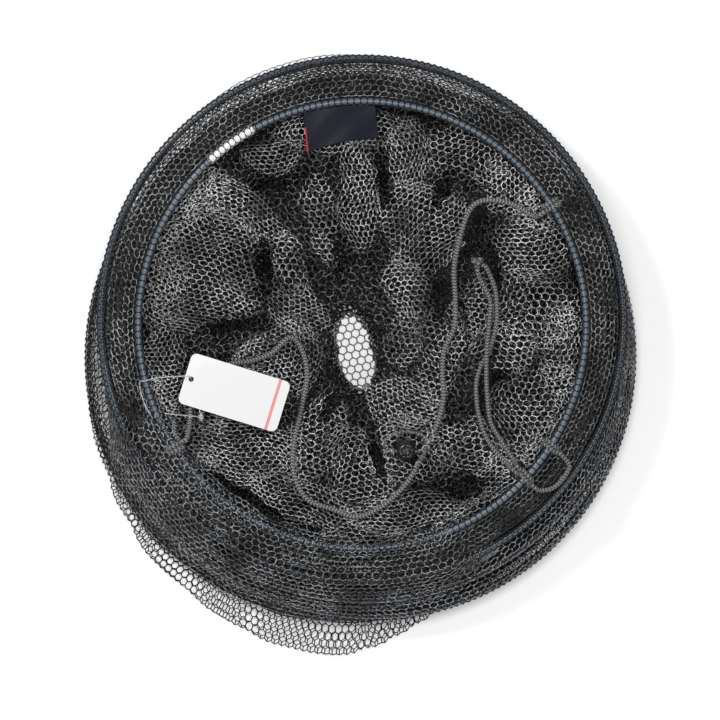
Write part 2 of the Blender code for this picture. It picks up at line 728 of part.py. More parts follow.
def knot_centre():
    return lying_on_heap(KNOT_ANGLE, KNOT_SHARE, KNOT_DIAMETER / 2 * KNOT_FLATNESS + KNOT_LIFT)


def knot_lead(angle):
    """The straight bit of cord that leaves the knot."""
    start = knot_centre() + direction(angle) * (KNOT_DIAMETER / 2 + CLEARANCE)
    return [start, start + direction(angle) * HANDLE_CORD_DIAMETER]


def cord_knot(finish):
    """The stopper knot that joins the two runs of the handle cord."""
    shape = bmesh.new()
    bmesh.ops.create_uvsphere(shape, u_segments=12, v_segments=8, radius=KNOT_DIAMETER / 2)
    for vert in shape.verts:
        vert.co.z *= KNOT_FLATNESS
    obj = add_mesh("handle_cord_knot", shape, finish)
    obj.location = knot_centre()
    shade_round(obj)


def drawcord(finish):
    """The long cord from one side of the mouth to the other, with its tail."""
    thick = DRAWCORD_DIAMETER
    route = hitch_lead(RIGHT_TIE_ANGLE, thick, -1) + by_mouth(DRAWCORD_ROUTE)
    route += reversed(hitch_lead(LEFT_TIE_ANGLE, thick, -1))
    tail = hitch_tail(LEFT_TIE_ANGLE, thick) + by_mouth(DRAWCORD_TAIL_ROUTE)
    tube("drawcord", smooth_route(route, CORD_STEP, led_in=True, led_out=True), thick, finish)
    tube("drawcord_tail", smooth_route(tail, CORD_STEP / 2, led_in=True), thick, finish)
    hitch("drawcord_right_hitch", RIGHT_TIE_ANGLE, thick, finish)
    hitch("drawcord_left_hitch", LEFT_TIE_ANGLE, thick, finish)


def handle_cord(finish):
    """The doubled cord from its knot to the mouth hoop, and its bight outside the mouth."""
    thick = HANDLE_CORD_DIAMETER
    beside = (thick + CLEARANCE) / 2
    down = knot_lead(KNOT_EXIT_DOWN) + by_mouth(HANDLE_CORD_DOWN_ROUTE)
    down += reversed(hitch_lead(HANDLE_TIE_ANGLE, thick, -1, beside))
    up = hitch_lead(HANDLE_TIE_ANGLE, thick, -1, -beside) + by_mouth(HANDLE_CORD_UP_ROUTE)
    up += reversed(knot_lead(KNOT_EXIT_UP))
    bight = hitch_lead(HANDLE_TIE_ANGLE, thick, 1) + by_mouth(HANDLE_BIGHT_ROUTE)
    bight += reversed(hitch_lead(BIGHT_TIE_ANGLE, thick, 1))
    for name, route in (("down", down), ("up", up), ("bight", bight)):
        points = smooth_route(route, CORD_STEP, led_in=True, led_out=True)
        tube("handle_cord_" + name, points, thick, finish)
    hitch("handle_cord_hitch", HANDLE_TIE_ANGLE, thick, finish)
    hitch("handle_bight_hitch", BIGHT_TIE_ANGLE, thick, finish)
    cord_knot(finish)


def cylinder(name, diameter, low, high, sides, finish=None, collection=CUTTERS_COLLECTION):
    """An upright cylinder between two heights."""
    shape = bmesh.new()
    radius = diameter / 2
    bmesh.ops.create_cone(
        shape, cap_ends=True, segments=sides, radius1=radius, radius2=radius, depth=high - low
    )
    for vert in shape.verts:
        vert.co.z += (low + high) / 2
    return add_mesh(name, shape, finish, collection)


def lock_centre():
    return lying_on_heap(LOCK_ANGLE, LOCK_SHARE, LOCK_DIAMETER / 2 + CLEARANCE)


def lock_body(finish):
    """A ball with a blind well for the button and its spring, and an eye for the cord."""
    radius = LOCK_DIAMETER / 2
    ball = bmesh.new()
    bmesh.ops.create_uvsphere(ball, u_segments=20, v_segments=12, radius=radius)
    body = add_mesh("cord_lock_body", ball, finish)
    body.location = lock_centre()
    well = cylinder("lock_well", LOCK_BORE, LOCK_FLOOR - radius, 2 * radius, 16)
    well.location = lock_centre()
    cut(body, well)
    eye = cylinder("lock_eye", LOCK_CORD_DIAMETER + LOCK_CORD_SLACK, -2 * radius, 2 * radius, 12)
    eye.location = lock_centre() + Vector((0, 0, LOCK_CORD_LIFT))
    eye.rotation_euler = (0, math.pi / 2, 0)
    cut(body, eye)


def lock_button(finish):
    """The button, slotted for the cord with room for its travel. Gives the height of its foot."""
    slot_floor = LOCK_CORD_LIFT - LOCK_CORD_DIAMETER / 2 - CLEARANCE
    slot_top = LOCK_CORD_LIFT + LOCK_CORD_DIAMETER / 2 + CLEARANCE + LOCK_TRAVEL
    foot = slot_floor - BUTTON_FOOT
    head = LOCK_DIAMETER / 2 + BUTTON_STAND
    button = cylinder("cord_lock_button", BUTTON_DIAMETER, foot, head, 16, finish, PARTS_COLLECTION)
    button.location = lock_centre()
    edge = button.modifiers.new("edge", "BEVEL")
    edge.width = BUTTON_EDGE
    edge.segments = 2
    edge.limit_method = "ANGLE"
    slot = bmesh.new()
    bmesh.ops.create_cube(slot, size=1.0)
    for vert in slot.verts:
        vert.co.x *= 2 * BUTTON_DIAMETER
        vert.co.y *= LOCK_CORD_DIAMETER + 2 * CLEARANCE
        vert.co.z = slot_floor if vert.co.z < 0 else slot_top
    slot_cutter = add_mesh("button_slot", slot, None, CUTTERS_COLLECTION)
    slot_cutter.location = lock_centre()
    cut(button, slot_cutter)
    return foot


def lock_spring(foot, finish):
    """The spring between the well's floor and the button's foot."""
    low = LOCK_FLOOR - LOCK_DIAMETER / 2 + CLEARANCE + SPRING_WIRE / 2
    high = foot - CLEARANCE - SPRING_WIRE / 2
    steps = SPRING_COILS * SPRING_STEPS
    helix = []
    for i in range(steps + 1):
        reach = direction(TURN * i / SPRING_STEPS) * (SPRING_DIAMETER - SPRING_WIRE) / 2
        helix.append(reach + Vector((0, 0, low + (high - low) * i / steps)))
    spring = tube("cord_lock_spring", helix, SPRING_WIRE, finish, 6)
    spring.location = lock_centre()
    least_gap = min((a - b).length for a, b in zip(helix, helix[SPRING_STEPS:])) - SPRING_WIRE
    print(f"least gap between the spring's turns: {least_gap / MM:.2f} mm")


def lock_cord(finish):
    """A short closed loop of cord through the ball's eye."""
    eye = lock_centre() + Vector((0, 0, LOCK_CORD_LIFT))
    knots = [Vector(place) * MM for place in LOCK_CORD_ROUTE]
    points = smooth_route(knots, LOCK_CORD_STEP, cyclic=True)
    loop = tube("cord_lock_loop", points, LOCK_CORD_DIAMETER, finish, cyclic=True)
    loop.location = eye


def build():
    clear_scene()
    netting = material("black_netting", (0.02, 0.021, 0.023), 0.42)
    braid = material("black_braid", (0.05, 0.05, 0.055), 0.7)
    lock_plastic = material("black_plastic", (0.02, 0.021, 0.023), 0.25)
    steel = material("spring_steel", (0.55, 0.56, 0.58), 0.35, 1.0)
    sheath = material("blue_black_plastic", (0.03, 0.045, 0.07), 0.28)
    sleeve = material("white_plastic", (0.78, 0.79, 0.78), 0.4)
    for level in range(len(HOOPS)):
        hoop(level, sheath, steel, sleeve if HOOPS[level][0] == "mouth_hoop" else sheath)
    for level in range(len(WALL_NAMES)):
        wall_net(level, netting)
    heap_net(netting)
    bottom_panel(netting)
    sewn_label(material("navy_satin", (0.012, 0.014, 0.03), 0.35))
    swing_tag(material("white_card", (0.85, 0.85, 0.85), 0.5))
    tag_loop(material("clear_nylon", (0.8, 0.83, 0.86), 0.2))
    drawcord(braid)
    handle_cord(braid)
    lock_body(lock_plastic)
    foot = lock_button(lock_plastic)
    lock_spring(foot, steel)
    lock_cord(braid)


build()
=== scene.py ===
"""The fishing keepnet as it looks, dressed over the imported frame.

Lengths are in metres unless a name says millimetres. Heights are above the ground, and angles are
counted from +X towards +Y.
"""

import math

import bmesh
import bpy
import numpy as np
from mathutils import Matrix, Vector


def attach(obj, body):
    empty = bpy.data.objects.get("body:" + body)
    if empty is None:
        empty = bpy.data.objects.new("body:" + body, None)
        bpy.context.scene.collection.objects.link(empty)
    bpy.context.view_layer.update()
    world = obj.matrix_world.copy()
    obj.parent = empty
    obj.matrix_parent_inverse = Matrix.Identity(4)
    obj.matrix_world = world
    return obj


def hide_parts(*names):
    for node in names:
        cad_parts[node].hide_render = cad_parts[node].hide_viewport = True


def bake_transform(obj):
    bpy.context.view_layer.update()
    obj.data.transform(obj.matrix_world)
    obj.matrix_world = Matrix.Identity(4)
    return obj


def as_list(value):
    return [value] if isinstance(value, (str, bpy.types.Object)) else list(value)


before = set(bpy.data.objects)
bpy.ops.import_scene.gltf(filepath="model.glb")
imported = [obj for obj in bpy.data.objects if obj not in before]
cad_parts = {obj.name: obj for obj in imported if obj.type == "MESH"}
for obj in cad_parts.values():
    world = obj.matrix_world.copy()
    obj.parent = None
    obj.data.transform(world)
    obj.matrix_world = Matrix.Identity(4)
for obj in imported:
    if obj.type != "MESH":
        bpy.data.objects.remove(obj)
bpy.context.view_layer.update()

# The camera
# The photograph was taken from straight above, far enough away for the hoops to keep their circles.
# The frame is as wide as the photograph a little under the mouth hoop.
MM = 0.001
CAMERA_PLACE = (-1.646 * MM, -2.304 * MM, 5.0)
FRAME_WIDTH = 474.05 * MM
FRAME_LEVEL = 45 * MM


def put_in_scene(name, data):
    """A new object of the scene, at the origin."""
    made = bpy.data.objects.new(name, data)
    bpy.context.scene.collection.objects.link(made)
    return made


lens = bpy.data.cameras.new("camera")
lens.sensor_width = 36
lens.lens = lens.sensor_width * (CAMERA_PLACE[2] - FRAME_LEVEL) / FRAME_WIDTH
lens.clip_start = 0.1
lens.clip_end = 20
camera = put_in_scene("camera", lens)
camera.location = CAMERA_PLACE
bpy.context.scene.camera = camera
bpy.context.scene.view_settings.view_transform = "Standard"


# The cords
# Braids of silver-grey and black yarn. The drawcord crosses the mouth over the heap, and the handle
# cord runs doubled from its knot to the mouth hoop. All are tied round the hoop in tight turns.
TURN = 2 * math.pi
DRAWCORD_DIAMETER = 3.4 * MM
HANDLE_CORD_DIAMETER = 3.0 * MM
LOCK_CORD_DIAMETER = 2.4 * MM
YARN_STEP = 1.05 * MM
PLAITS = 8
RING_STEP = 0.4 * MM
YARN_RELIEF = 0.11
HOOP_RADIUS = 2.5 * MM

DRAWCORD_KNOTS = (
    (120.4, 95.8, 56.0), (116.4, 93.0, 56.0), (112.2, 92.4, 51.6), (101.5, 99.0, 49.0),
    (89.5, 102.6, 47.4), (77.0, 102.0, 45.8), (69.6, 94.6, 43.8), (63.8, 77.0, 40.6),
    (60.4, 58.0, 36.4), (61.2, 38.0, 33.0), (60.6, 19.6, 32.6), (54.2, 4.8, 30.8),
    (52.8, -10.6, 29.8), (53.4, -28.0, 32.4), (48.2, -47.4, 34.6), (39.0, -66.4, 39.8),
    (28.6, -84.0, 42.8), (12.8, -98.6, 44.0), (-3.6, -105.6, 45.6), (-20.2, -100.4, 45.2),
    (-37.0, -93.6, 45.2), (-45.4, -76.4, 42.8), (-45.0, -56.0, 37.0), (-40.8, -36.0, 29.8),
    (-36.8, -14.0, 24.4), (-39.8, 3.4, 22.6), (-48.0, 12.6, 24.6), (-59.6, 2.6, 28.8),
    (-74.0, -3.2, 33.6), (-88.0, -5.4, 38.6), (-102.0, -14.6, 44.0), (-112.2, -28.0, 47.1),
    (-113.6, -42.0, 48.9), (-115.5, -53.7, 56.0), (-119.4, -56.5, 56.0),
)
DRAWCORD_TAIL_KNOTS = (
    (-121.0, -55.0, 55.0), (-123.7, -50.8, 55.0), (-124.0, -46.4, 53.0), (-124.4, -42.0, 51.2),
)
HANDLE_DOWN_KNOTS = (
    (75.8, 58.9, 40.8), (75.9, 55.3, 40.8), (78.0, 50.4, 38.8), (84.0, 37.2, 38.0),
    (83.8, 24.0, 39.0), (82.2, 9.0, 40.0), (81.6, -9.2, 39.6), (82.4, -29.0, 41.6),
    (84.6, -43.6, 43.6), (91.6, -56.0, 46.0), (99.4, -68.0, 50.2), (101.6, -72.3, 56.0),
    (104.3, -75.1, 56.0),
)
HANDLE_UP_KNOTS = (
    (102.2, -77.6, 56.0), (99.3, -74.7, 56.0), (96.2, -71.6, 50.2), (86.6, -61.2, 46.0),
    (80.0, -50.0, 43.0), (75.8, -34.0, 40.4), (75.1, -18.0, 37.0), (78.0, -7.0, 35.0),
    (84.0, 5.6, 37.6), (88.0, 19.8, 41.0), (88.6, 33.0, 38.6), (87.0, 46.0, 38.6),
    (81.5, 58.6, 40.8), (78.6, 60.4, 40.8),
)
HANDLE_BIGHT_KNOTS = (
    (110.3, -83.3, 56.0), (113.3, -86.4, 56.0), (117.2, -88.0, 54.2), (124.6, -86.6, 53.6),
    (131.4, -80.6, 53.4), (135.8, -72.0, 53.6), (130.5, -64.6, 56.0), (127.2, -62.3, 56.0),
)
LOCK_PLACE = (28.7, -62.3, 41.4)
LOCK_CORD_KNOTS = (
    (20.2, -62.3, 41.9), (28.7, -62.3, 41.9), (37.2, -62.3, 41.9), (42.2, -58.8, 41.4),
    (39.7, -52.3, 41.9), (28.7, -49.7, 42.3), (17.7, -52.3, 41.9), (15.2, -58.8, 41.4),
)
# Where a cord is tied to the mouth hoop, in millimetres, and the way out from the hoop in degrees
TIES = (
    ("drawcord_right_wraps", "drawcord_right_hitch", (124.5, 98.7, 55.0), 38, DRAWCORD_DIAMETER),
    ("drawcord_left_wraps", "drawcord_left_hitch", (-123.6, -59.4, 55.0), 213, DRAWCORD_DIAMETER),
    ("handle_cord_wraps", "handle_cord_hitch", (106.9, -79.9, 55.0), 317, HANDLE_CORD_DIAMETER),
    ("handle_bight_wraps", "handle_bight_hitch", (123.0, -59.4, 55.0), 327, HANDLE_CORD_DIAMETER),
)


def smooth_path(knots, step, cyclic=False):
    """Points one step apart on a Catmull-Rom curve through the knots, which are in millimetres."""
    knots = np.array(knots) * MM
    if cyclic:
        padded = np.vstack([knots[-1:], knots, knots[:2]])
    else:
        padded = np.vstack([2 * knots[0] - knots[1], knots, 2 * knots[-1] - knots[-2]])
    share = np.linspace(0, 1, 24, endpoint=False)[:, None]
    fine = []
    for before, start, end, after in zip(padded, padded[1:], padded[2:], padded[3:]):
        linear = (end - before) * share
        square = (2 * before - 5 * start + 4 * end - after) * share**2
        cube = (3 * start - before - 3 * end + after) * share**3
        fine.append(start + 0.5 * (linear + square + cube))
    fine = np.vstack(fine + [padded[-2:-1]])
    walked = path_walk(fine)
    wanted = np.linspace(0, walked[-1], max(2, round(walked[-1] / step)) + 1)
    points = np.stack([np.interp(wanted, walked, fine[:, axis]) for axis in range(3)], axis=1)
    return points[:-1] if cyclic else points


def path_walk(points):
    """The distance along a path at each of its points."""
    return np.concatenate([[0.0], np.cumsum(np.linalg.norm(np.diff(points, axis=0), axis=1))])


def square_axes(path, cyclic=False):
    """Two directions square to the path at each of its points, turning as little as they can."""
    ahead = np.roll(path, -1, axis=0) - np.roll(path, 1, axis=0)
    if not cyclic:
        ahead[0] = path[1] - path[0]
        ahead[-1] = path[-1] - path[-2]
    ahead /= np.linalg.norm(ahead, axis=1)[:, None]
    upright = (0.0, 0.0, 1.0) if abs(ahead[0][2]) < 0.9 else (1.0, 0.0, 0.0)
    side = np.empty_like(path)
    side[0] = np.cross(ahead[0], upright)
    side[0] /= np.linalg.norm(side[0])
    for i in range(1, len(path)):
        side[i] = side[i - 1] - ahead[i] * side[i - 1].dot(ahead[i])
        side[i] /= np.linalg.norm(side[i])
    lift = np.cross(ahead, side)
    if cyclic:
        last = side[-1] - ahead[0] * side[-1].dot(ahead[0])
        twist = math.atan2(last.dot(lift[0]), last.dot(side[0]))
        turn = -twist * np.arange(len(path))[:, None] / len(path)
        side, lift = side * np.cos(turn) + lift * np.sin(turn), lift * np.cos(turn) - side * np.sin(turn)
    return side, lift


def new_piece(name, vertices, faces, finish):
    """A smooth mesh object, in its place, with one finish."""
    mesh = bpy.data.meshes.new(name)
    mesh.from_pydata([tuple(v) for v in vertices], [], [tuple(f) for f in faces])
    mesh.materials.append(finish)
    mesh.shade_smooth()
    return put_in_scene(name, mesh)


def round_piece(name, path, radii, sides, finish, cyclic=False):
    """A round piece along a path, with one radius, or one for each ring, or for each ring and side."""
    side, lift = square_axes(path, cyclic)
    angles = np.arange(sides) * TURN / sides
    radii = np.asarray(radii, float)
    if radii.ndim == 1:
        radii = radii[:, None]
    radii = np.broadcast_to(radii, (len(path), sides))
    across = side[:, None, :] * np.cos(angles)[None, :, None]
    across = across + lift[:, None, :] * np.sin(angles)[None, :, None]
    vertices = (path[:, None, :] + across * radii[:, :, None]).reshape(-1, 3)
    faces = []
    rings = len(path)
    for i in range(rings if cyclic else rings - 1):
        here = i * sides
        there = (i + 1) % rings * sides
        for j in range(sides):
            k = (j + 1) % sides
            faces.append((here + j, here + k, there + k, there + j))
    if not cyclic:
        faces.append(tuple(range(sides - 1, -1, -1)))
        faces.append(tuple((rings - 1) * sides + j for j in range(sides)))
    return new_piece(name, vertices, faces, finish)


def stand_for(piece, node, body, slot):
    """Puts a piece in the place of one of the frame's nodes and on its body; the slot is not used."""
    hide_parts(node)
    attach(piece, body)


def fill_in(tree, node, inputs):
    """Gives a node's inputs plain values, or joins them to other nodes' outputs."""
    for label, given in inputs.items():
        if isinstance(given, bpy.types.NodeSocket):
            tree.links.new(given, node.inputs[label])
        else:
            node.inputs[label].default_value = given


def add_node(tree, kind, inputs=None, **settings):
    """A new node of a tree, with its settings and inputs."""
    node = tree.nodes.new(kind)
    for setting, value in settings.items():
        setattr(node, setting, value)
    fill_in(tree, node, inputs or {})
    return node


def new_group(name, kind, inputs, outputs):
    """A tree with named inputs and outputs, and its first and last nodes."""
    tree = bpy.data.node_groups.new(name, kind)
    for side, sockets in (("INPUT", inputs), ("OUTPUT", outputs)):
        for label, socket in sockets.items():
            tree.interface.new_socket(label, in_out=side, socket_type="NodeSocket" + socket)
    return tree, tree.nodes.new("NodeGroupInput"), tree.nodes.new("NodeGroupOutput")


def new_finish(name):
    """A material, its node tree and its Principled shader."""
    made = bpy.data.materials.new(name)
    made.use_nodes = True
    return made, made.node_tree, made.node_tree.nodes["Principled BSDF"]


def grain(tree, scale, detail=2):
    """Noise on the piece's own coordinates, from 0 to 1."""
    place = add_node(tree, "ShaderNodeTexCoord")
    noise = {"Vector": place.outputs["Object"], "Scale": scale, "Detail": detail}
    return add_node(tree, "ShaderNodeTexNoise", noise).outputs["Fac"]


def spread(tree, value, low, high, start=0.0, end=1.0, kind="LINEAR"):
    """A value between start and end, spread over the range from low to high."""
    inputs = {"Value": value, "From Min": start, "From Max": end, "To Min": low, "To Max": high}
    return add_node(tree, "ShaderNodeMapRange", inputs, interpolation_type=kind).outputs["Result"]


def mixed(tree, share, first, second, blend="MIX"):
    """Two colours mixed by a share of the second."""
    inputs = {"Factor": share, "A": first, "B": second}
    return add_node(tree, "ShaderNodeMix", inputs, data_type="RGBA", blend_type=blend).outputs["Result"]


def reckoned(tree, operation, first, second):
    """The result of a sum with two values."""
    return add_node(tree, "ShaderNodeMath", {0: first, 1: second}, operation=operation).outputs["Value"]


def relief(tree, height, strength, distance):
    """Normals for a low relief."""
    bump = add_node(tree, "ShaderNodeBump", {"Height": height, "Strength": strength, "Distance": distance})
    return bump.outputs["Normal"]


def woven_yarn():
    """Yarns in two greys with fine fibres, with painted shade where they dive under each other."""
    tree, source, result = new_group(
        "woven_yarn",
        "ShaderNodeTree",
        {"Silver": "Color", "Black": "Color"},
        {"Colour": "Color", "Normal": "Vector"},
    )
    yarn = add_node(tree, "ShaderNodeAttribute", attribute_name="yarn")
    crown = add_node(tree, "ShaderNodeAttribute", attribute_name="crown")
    fleck = spread(tree, yarn.outputs["Fac"], 0.0, 1.0, 0.2, 0.95)
    tones = mixed(tree, fleck, source.outputs["Black"], source.outputs["Silver"])
    # Painted shade and highlight: the colour is darkened where the yarns dive under each other and lifted a
    # little on their crowns.
    depth = spread(tree, crown.outputs["Fac"], 0.25, 1.1)
    fill_in(tree, result, {
        "Colour": mixed(tree, 1.0, tones, depth, "MULTIPLY"),
        "Normal": relief(tree, grain(tree, 2600, 3), 0.35, 0.1 * MM),
    })
    return tree


yarn_group = woven_yarn()


def braid_finish(name, silver, black):
    """A braid of silver-grey and black yarn."""
    made, tree, shader = new_finish(name)
    yarns = {"Silver": (*silver, 1), "Black": (*black, 1)}
    woven = add_node(tree, "ShaderNodeGroup", yarns, node_tree=yarn_group)
    fill_in(tree, shader, {
        "Base Color": woven.outputs["Colour"],
        "Normal": woven.outputs["Normal"],
        "Roughness": 0.5,
        "Specular IOR Level": 0.3,
        "Sheen Weight": 0.08,
        "Sheen Roughness": 0.4,
    })
    return made


def braided(name, path, diameter, finish, cyclic=False):
    """A round braid: columns of yarn round the cord that slant one way and the other by turns."""
    sides = 2 * PLAITS
    walked = path_walk(path)
    column = np.arange(sides) / 2
    slant = np.where(np.floor(column) % 2 == 0, column % 1, 1 - column % 1)
    phase = walked[:, None] / YARN_STEP + 0.9 * slant[None, :]
    crown = np.abs(np.sin(math.pi * phase))
    radii = diameter / 2 * (1 - YARN_RELIEF + YARN_RELIEF * 1.3 * crown)
    piece = round_piece(name, path, radii, sides, finish, cyclic)
    for label, values in (("yarn", 0.5 + 0.5 * np.sin(math.pi * phase)), ("crown", crown)):
        attribute = piece.data.attributes.new(label, "FLOAT", "POINT")
        attribute.data.foreach_set("value", np.ascontiguousarray(values, dtype=np.float32).ravel())
    return piece


draw_braid = braid_finish("draw_braid", (0.42, 0.42, 0.425), (0.016, 0.016, 0.017))
handle_braid = braid_finish("handle_braid", (0.38, 0.382, 0.388), (0.014, 0.014, 0.015))

TIE_TURNS = 2
TIE_STEPS = 120
TIE_START = math.pi - 0.2
TIE_ROOM = 0.5 * MM
TIE_CLOSENESS = 0.98
wraps = {}
for name, node, place, out_angle, thick in TIES:
    out = math.radians(out_angle)
    outward = np.array((math.cos(out), math.sin(out), 0.0))
    along = np.array((-outward[1], outward[0], 0.0))
    reach = HOOP_RADIUS + TIE_ROOM + thick / 2
    share = np.arange(TIE_STEPS + 1)[:, None] / TIE_STEPS
    turn = TIE_START + TURN * TIE_TURNS * share
    spokes = outward * np.cos(turn) + np.array((0, 0, 1)) * np.sin(turn)
    step = (share - 0.5) * TIE_TURNS * thick * TIE_CLOSENESS
    spiral = np.array(place) * MM + spokes * reach + along * step
    finish = draw_braid if thick == DRAWCORD_DIAMETER else handle_braid
    wraps[node] = braided(name, spiral, thick, finish)
    stand_for(wraps[node], node, "mouth", "cord")

tail = braided("drawcord_end", smooth_path(DRAWCORD_TAIL_KNOTS, RING_STEP), DRAWCORD_DIAMETER, draw_braid)
stand_for(tail, "drawcord_tail", "mouth", "cord")

# The handle cord's knot, a round turn that crosses itself three times, in millimetres
KNOT_PLACE = (75.6, 62.2, 40.8)
KNOT_REACH = 1.5
KNOT_DEPTH = 1.1
KNOT_CORD_DIAMETER = 2.7 * MM
KNOT_STEPS = 96
turn = TURN * np.arange(KNOT_STEPS) / KNOT_STEPS
knot_path = np.stack([
    KNOT_PLACE[0] + KNOT_REACH * (np.sin(turn) + 1.2 * np.sin(2 * turn)),
    KNOT_PLACE[1] + KNOT_REACH * (np.cos(turn) - 1.2 * np.cos(2 * turn)),
    KNOT_PLACE[2] - KNOT_DEPTH * np.sin(3 * turn),
], axis=1)
knot_path = smooth_path(knot_path, RING_STEP, cyclic=True)
knot = braided("handle_knot", knot_path, KNOT_CORD_DIAMETER, handle_braid, cyclic=True)
stand_for(knot, "handle_cord_knot", "mouth", "cord")

FREE_CORDS = (
    ("drawcord_braid", "drawcord", DRAWCORD_KNOTS, DRAWCORD_DIAMETER, draw_braid),
    ("handle_down_braid", "handle_cord_down", HANDLE_DOWN_KNOTS, HANDLE_CORD_DIAMETER, handle_braid),
    ("handle_up_braid", "handle_cord_up", HANDLE_UP_KNOTS, HANDLE_CORD_DIAMETER, handle_braid),
    ("handle_bight_braid", "handle_cord_bight", HANDLE_BIGHT_KNOTS, HANDLE_CORD_DIAMETER, handle_braid),
    ("lock_loop_braid", "cord_lock_loop", LOCK_CORD_KNOTS, LOCK_CORD_DIAMETER, handle_braid),
)
ON_CORD = {
    "drawcord": [wraps["drawcord_right_hitch"], wraps["drawcord_left_hitch"], tail],
    "handle_cord_down": [knot, wraps["handle_cord_hitch"]],
    "handle_cord_bight": [wraps["handle_bight_hitch"]],
}
laid_cords = []
for name, node, knots, thick, finish in FREE_CORDS:
    is_loop = node == "cord_lock_loop"
    path = smooth_path(knots, RING_STEP, cyclic=is_loop)
    laid_cords.append((node, path, thick))
    piece = braided(name, path, thick, finish, cyclic=is_loop)
    stand_for(piece, node, "bottom" if is_loop else "mouth", "cord")
    if is_loop:
        path = np.vstack([path, path[:1]])
    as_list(ON_CORD.get(node, []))


# The hoops
# Five spring wires, each in a dark plastic sheath. A moulded sleeve joins the ends of each, white on
# the mouth hoop. The wire is the frame's own node, and sheath and sleeve are smooth tubes round it.
BIG_RADIUS = 172.5 * MM
MOUTH_RADIUS = 147.5 * MM
SLEEVE_RADIUS = 2.9 * MM
SLEEVE_HALF = 18 * MM
SLEEVE_END_STEP = 0.25 * MM
SHEATH_RINGS = 240
SLEEVE_RINGS = 25
# How far inside the hoop's circle the sheath lies, which leaves room for the netting round it
LASHING_ROOM = 0.3 * MM
HOOPS = (
    ("bottom", "bottom", (-9.5 * MM, -1.0 * MM, 3 * MM), BIG_RADIUS, 25),
    ("lower", "lower_hoop", (6.3 * MM, 0.3 * MM, 16 * MM), BIG_RADIUS, 155),
    ("middle", "middle_hoop", (2.1 * MM, 11.2 * MM, 29 * MM), BIG_RADIUS, 275),
    ("upper", "upper_hoop", (-0.3 * MM, 24.0 * MM, 42 * MM), BIG_RADIUS, 195),
    ("mouth", "mouth", (-0.3 * MM, 20.7 * MM, 55 * MM), MOUTH_RADIUS, 126),
)


def moulded_plastic():
    """Plastic with faint clouding, fine scratches and a soft gloss."""
    tree, source, result = new_group(
        "moulded_plastic",
        "ShaderNodeTree",
        {"Deep": "Color", "Pale": "Color", "Least Roughness": "Float", "Most Roughness": "Float"},
        {"Colour": "Color", "Roughness": "Float", "Normal": "Vector"},
    )
    scratches = grain(tree, 900)
    least = source.outputs["Least Roughness"]
    fill_in(tree, result, {
        "Colour": mixed(tree, grain(tree, 60, 4), source.outputs["Deep"], source.outputs["Pale"]),
        "Roughness": spread(tree, scratches, least, source.outputs["Most Roughness"]),
        "Normal": relief(tree, scratches, 0.12, 0.05 * MM),
    })
    return tree


plastic_group = moulded_plastic()


def plastic_finish(name, deep, pale, roughness, coat):
    """A plastic of two close tones, about this rough under its coat."""
    made, tree, shader = new_finish(name)
    moulded = add_node(tree, "ShaderNodeGroup", {
        "Deep": (*deep, 1),
        "Pale": (*pale, 1),
        "Least Roughness": roughness - 0.06,
        "Most Roughness": roughness + 0.08,
    }, node_tree=plastic_group)
    fill_in(tree, shader, {
        "Base Color": moulded.outputs["Colour"],
        "Roughness": moulded.outputs["Roughness"],
        "Normal": moulded.outputs["Normal"],
        "Coat Weight": coat,
        "Coat Roughness": 0.12,
    })
    return made


sheath_plastic = plastic_finish("sheath_plastic", (0.04, 0.058, 0.082), (0.075, 0.102, 0.137), 0.34, 0.15)
sleeve_plastic = plastic_finish("sleeve_plastic", (0.78, 0.8, 0.81), (0.88, 0.89, 0.9), 0.36, 0.2)
steel, steel_tree, steel_shader = new_finish("drawn_steel")
fill_in(steel_tree, steel_shader, {
    "Base Color": (0.55, 0.56, 0.58, 1),
    "Metallic": 1.0,
    "Roughness": spread(steel_tree, grain(steel_tree, 1200), 0.22, 0.45),
})


def on_circle(centre, radii, angles, heights):
    """Points at these radii, angles and heights round a centre."""
    x = centre[0] + radii * np.cos(angles)
    y = centre[1] + radii * np.sin(angles)
    return np.stack([x, y, np.broadcast_to(heights, x.shape)], axis=1)


def hoop_path(centre, radius, start, end, count):
    """Points along part of a hoop's sheath."""
    return on_circle(centre, radius - LASHING_ROOM, np.linspace(start, end, count), centre[2])


for name, body, centre, radius, sleeve_angle in HOOPS:
    middle = math.radians(sleeve_angle)
    half = SLEEVE_HALF / radius
    path = hoop_path(centre, radius, middle + half * 0.9, middle + TURN - half * 0.9, SHEATH_RINGS)
    sheath = round_piece(name + "_sheath_tube", path, HOOP_RADIUS, 16, sheath_plastic)
    stand_for(sheath, name + "_hoop_sheath", body, "sheath")
    path = hoop_path(centre, radius, middle - half, middle + half, SLEEVE_RINGS)
    radii = np.full(SLEEVE_RINGS, SLEEVE_RADIUS)
    radii[[0, -1]] -= SLEEVE_END_STEP
    slot, plastic = ("sleeve", sleeve_plastic) if name == "mouth" else ("sheath", sheath_plastic)
    sleeve = round_piece(name + "_sleeve_tube", path, radii, 20, plastic)
    stand_for(sleeve, name + "_hoop_sleeve", body, slot)
    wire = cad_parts[name + "_hoop_wire"]
    if not wire.material_slots:
        wire.data.materials.append(steel)
    for holder in wire.material_slots:
        holder.material = steel


# The netting's strands
# Knotless netting of black nylon: zigzag rows of round strands, joined by short ties into hexagons.
# A guide of edges says where the strands run, and the node tree draws them round.
MESH = 5.3 * MM
MESH_ROW = 4.59 * MM
GATHERED_MESH = 4.2 * MM
STRAND = 0.82 * MM
DEEP_STRAND = 0.95 * MM


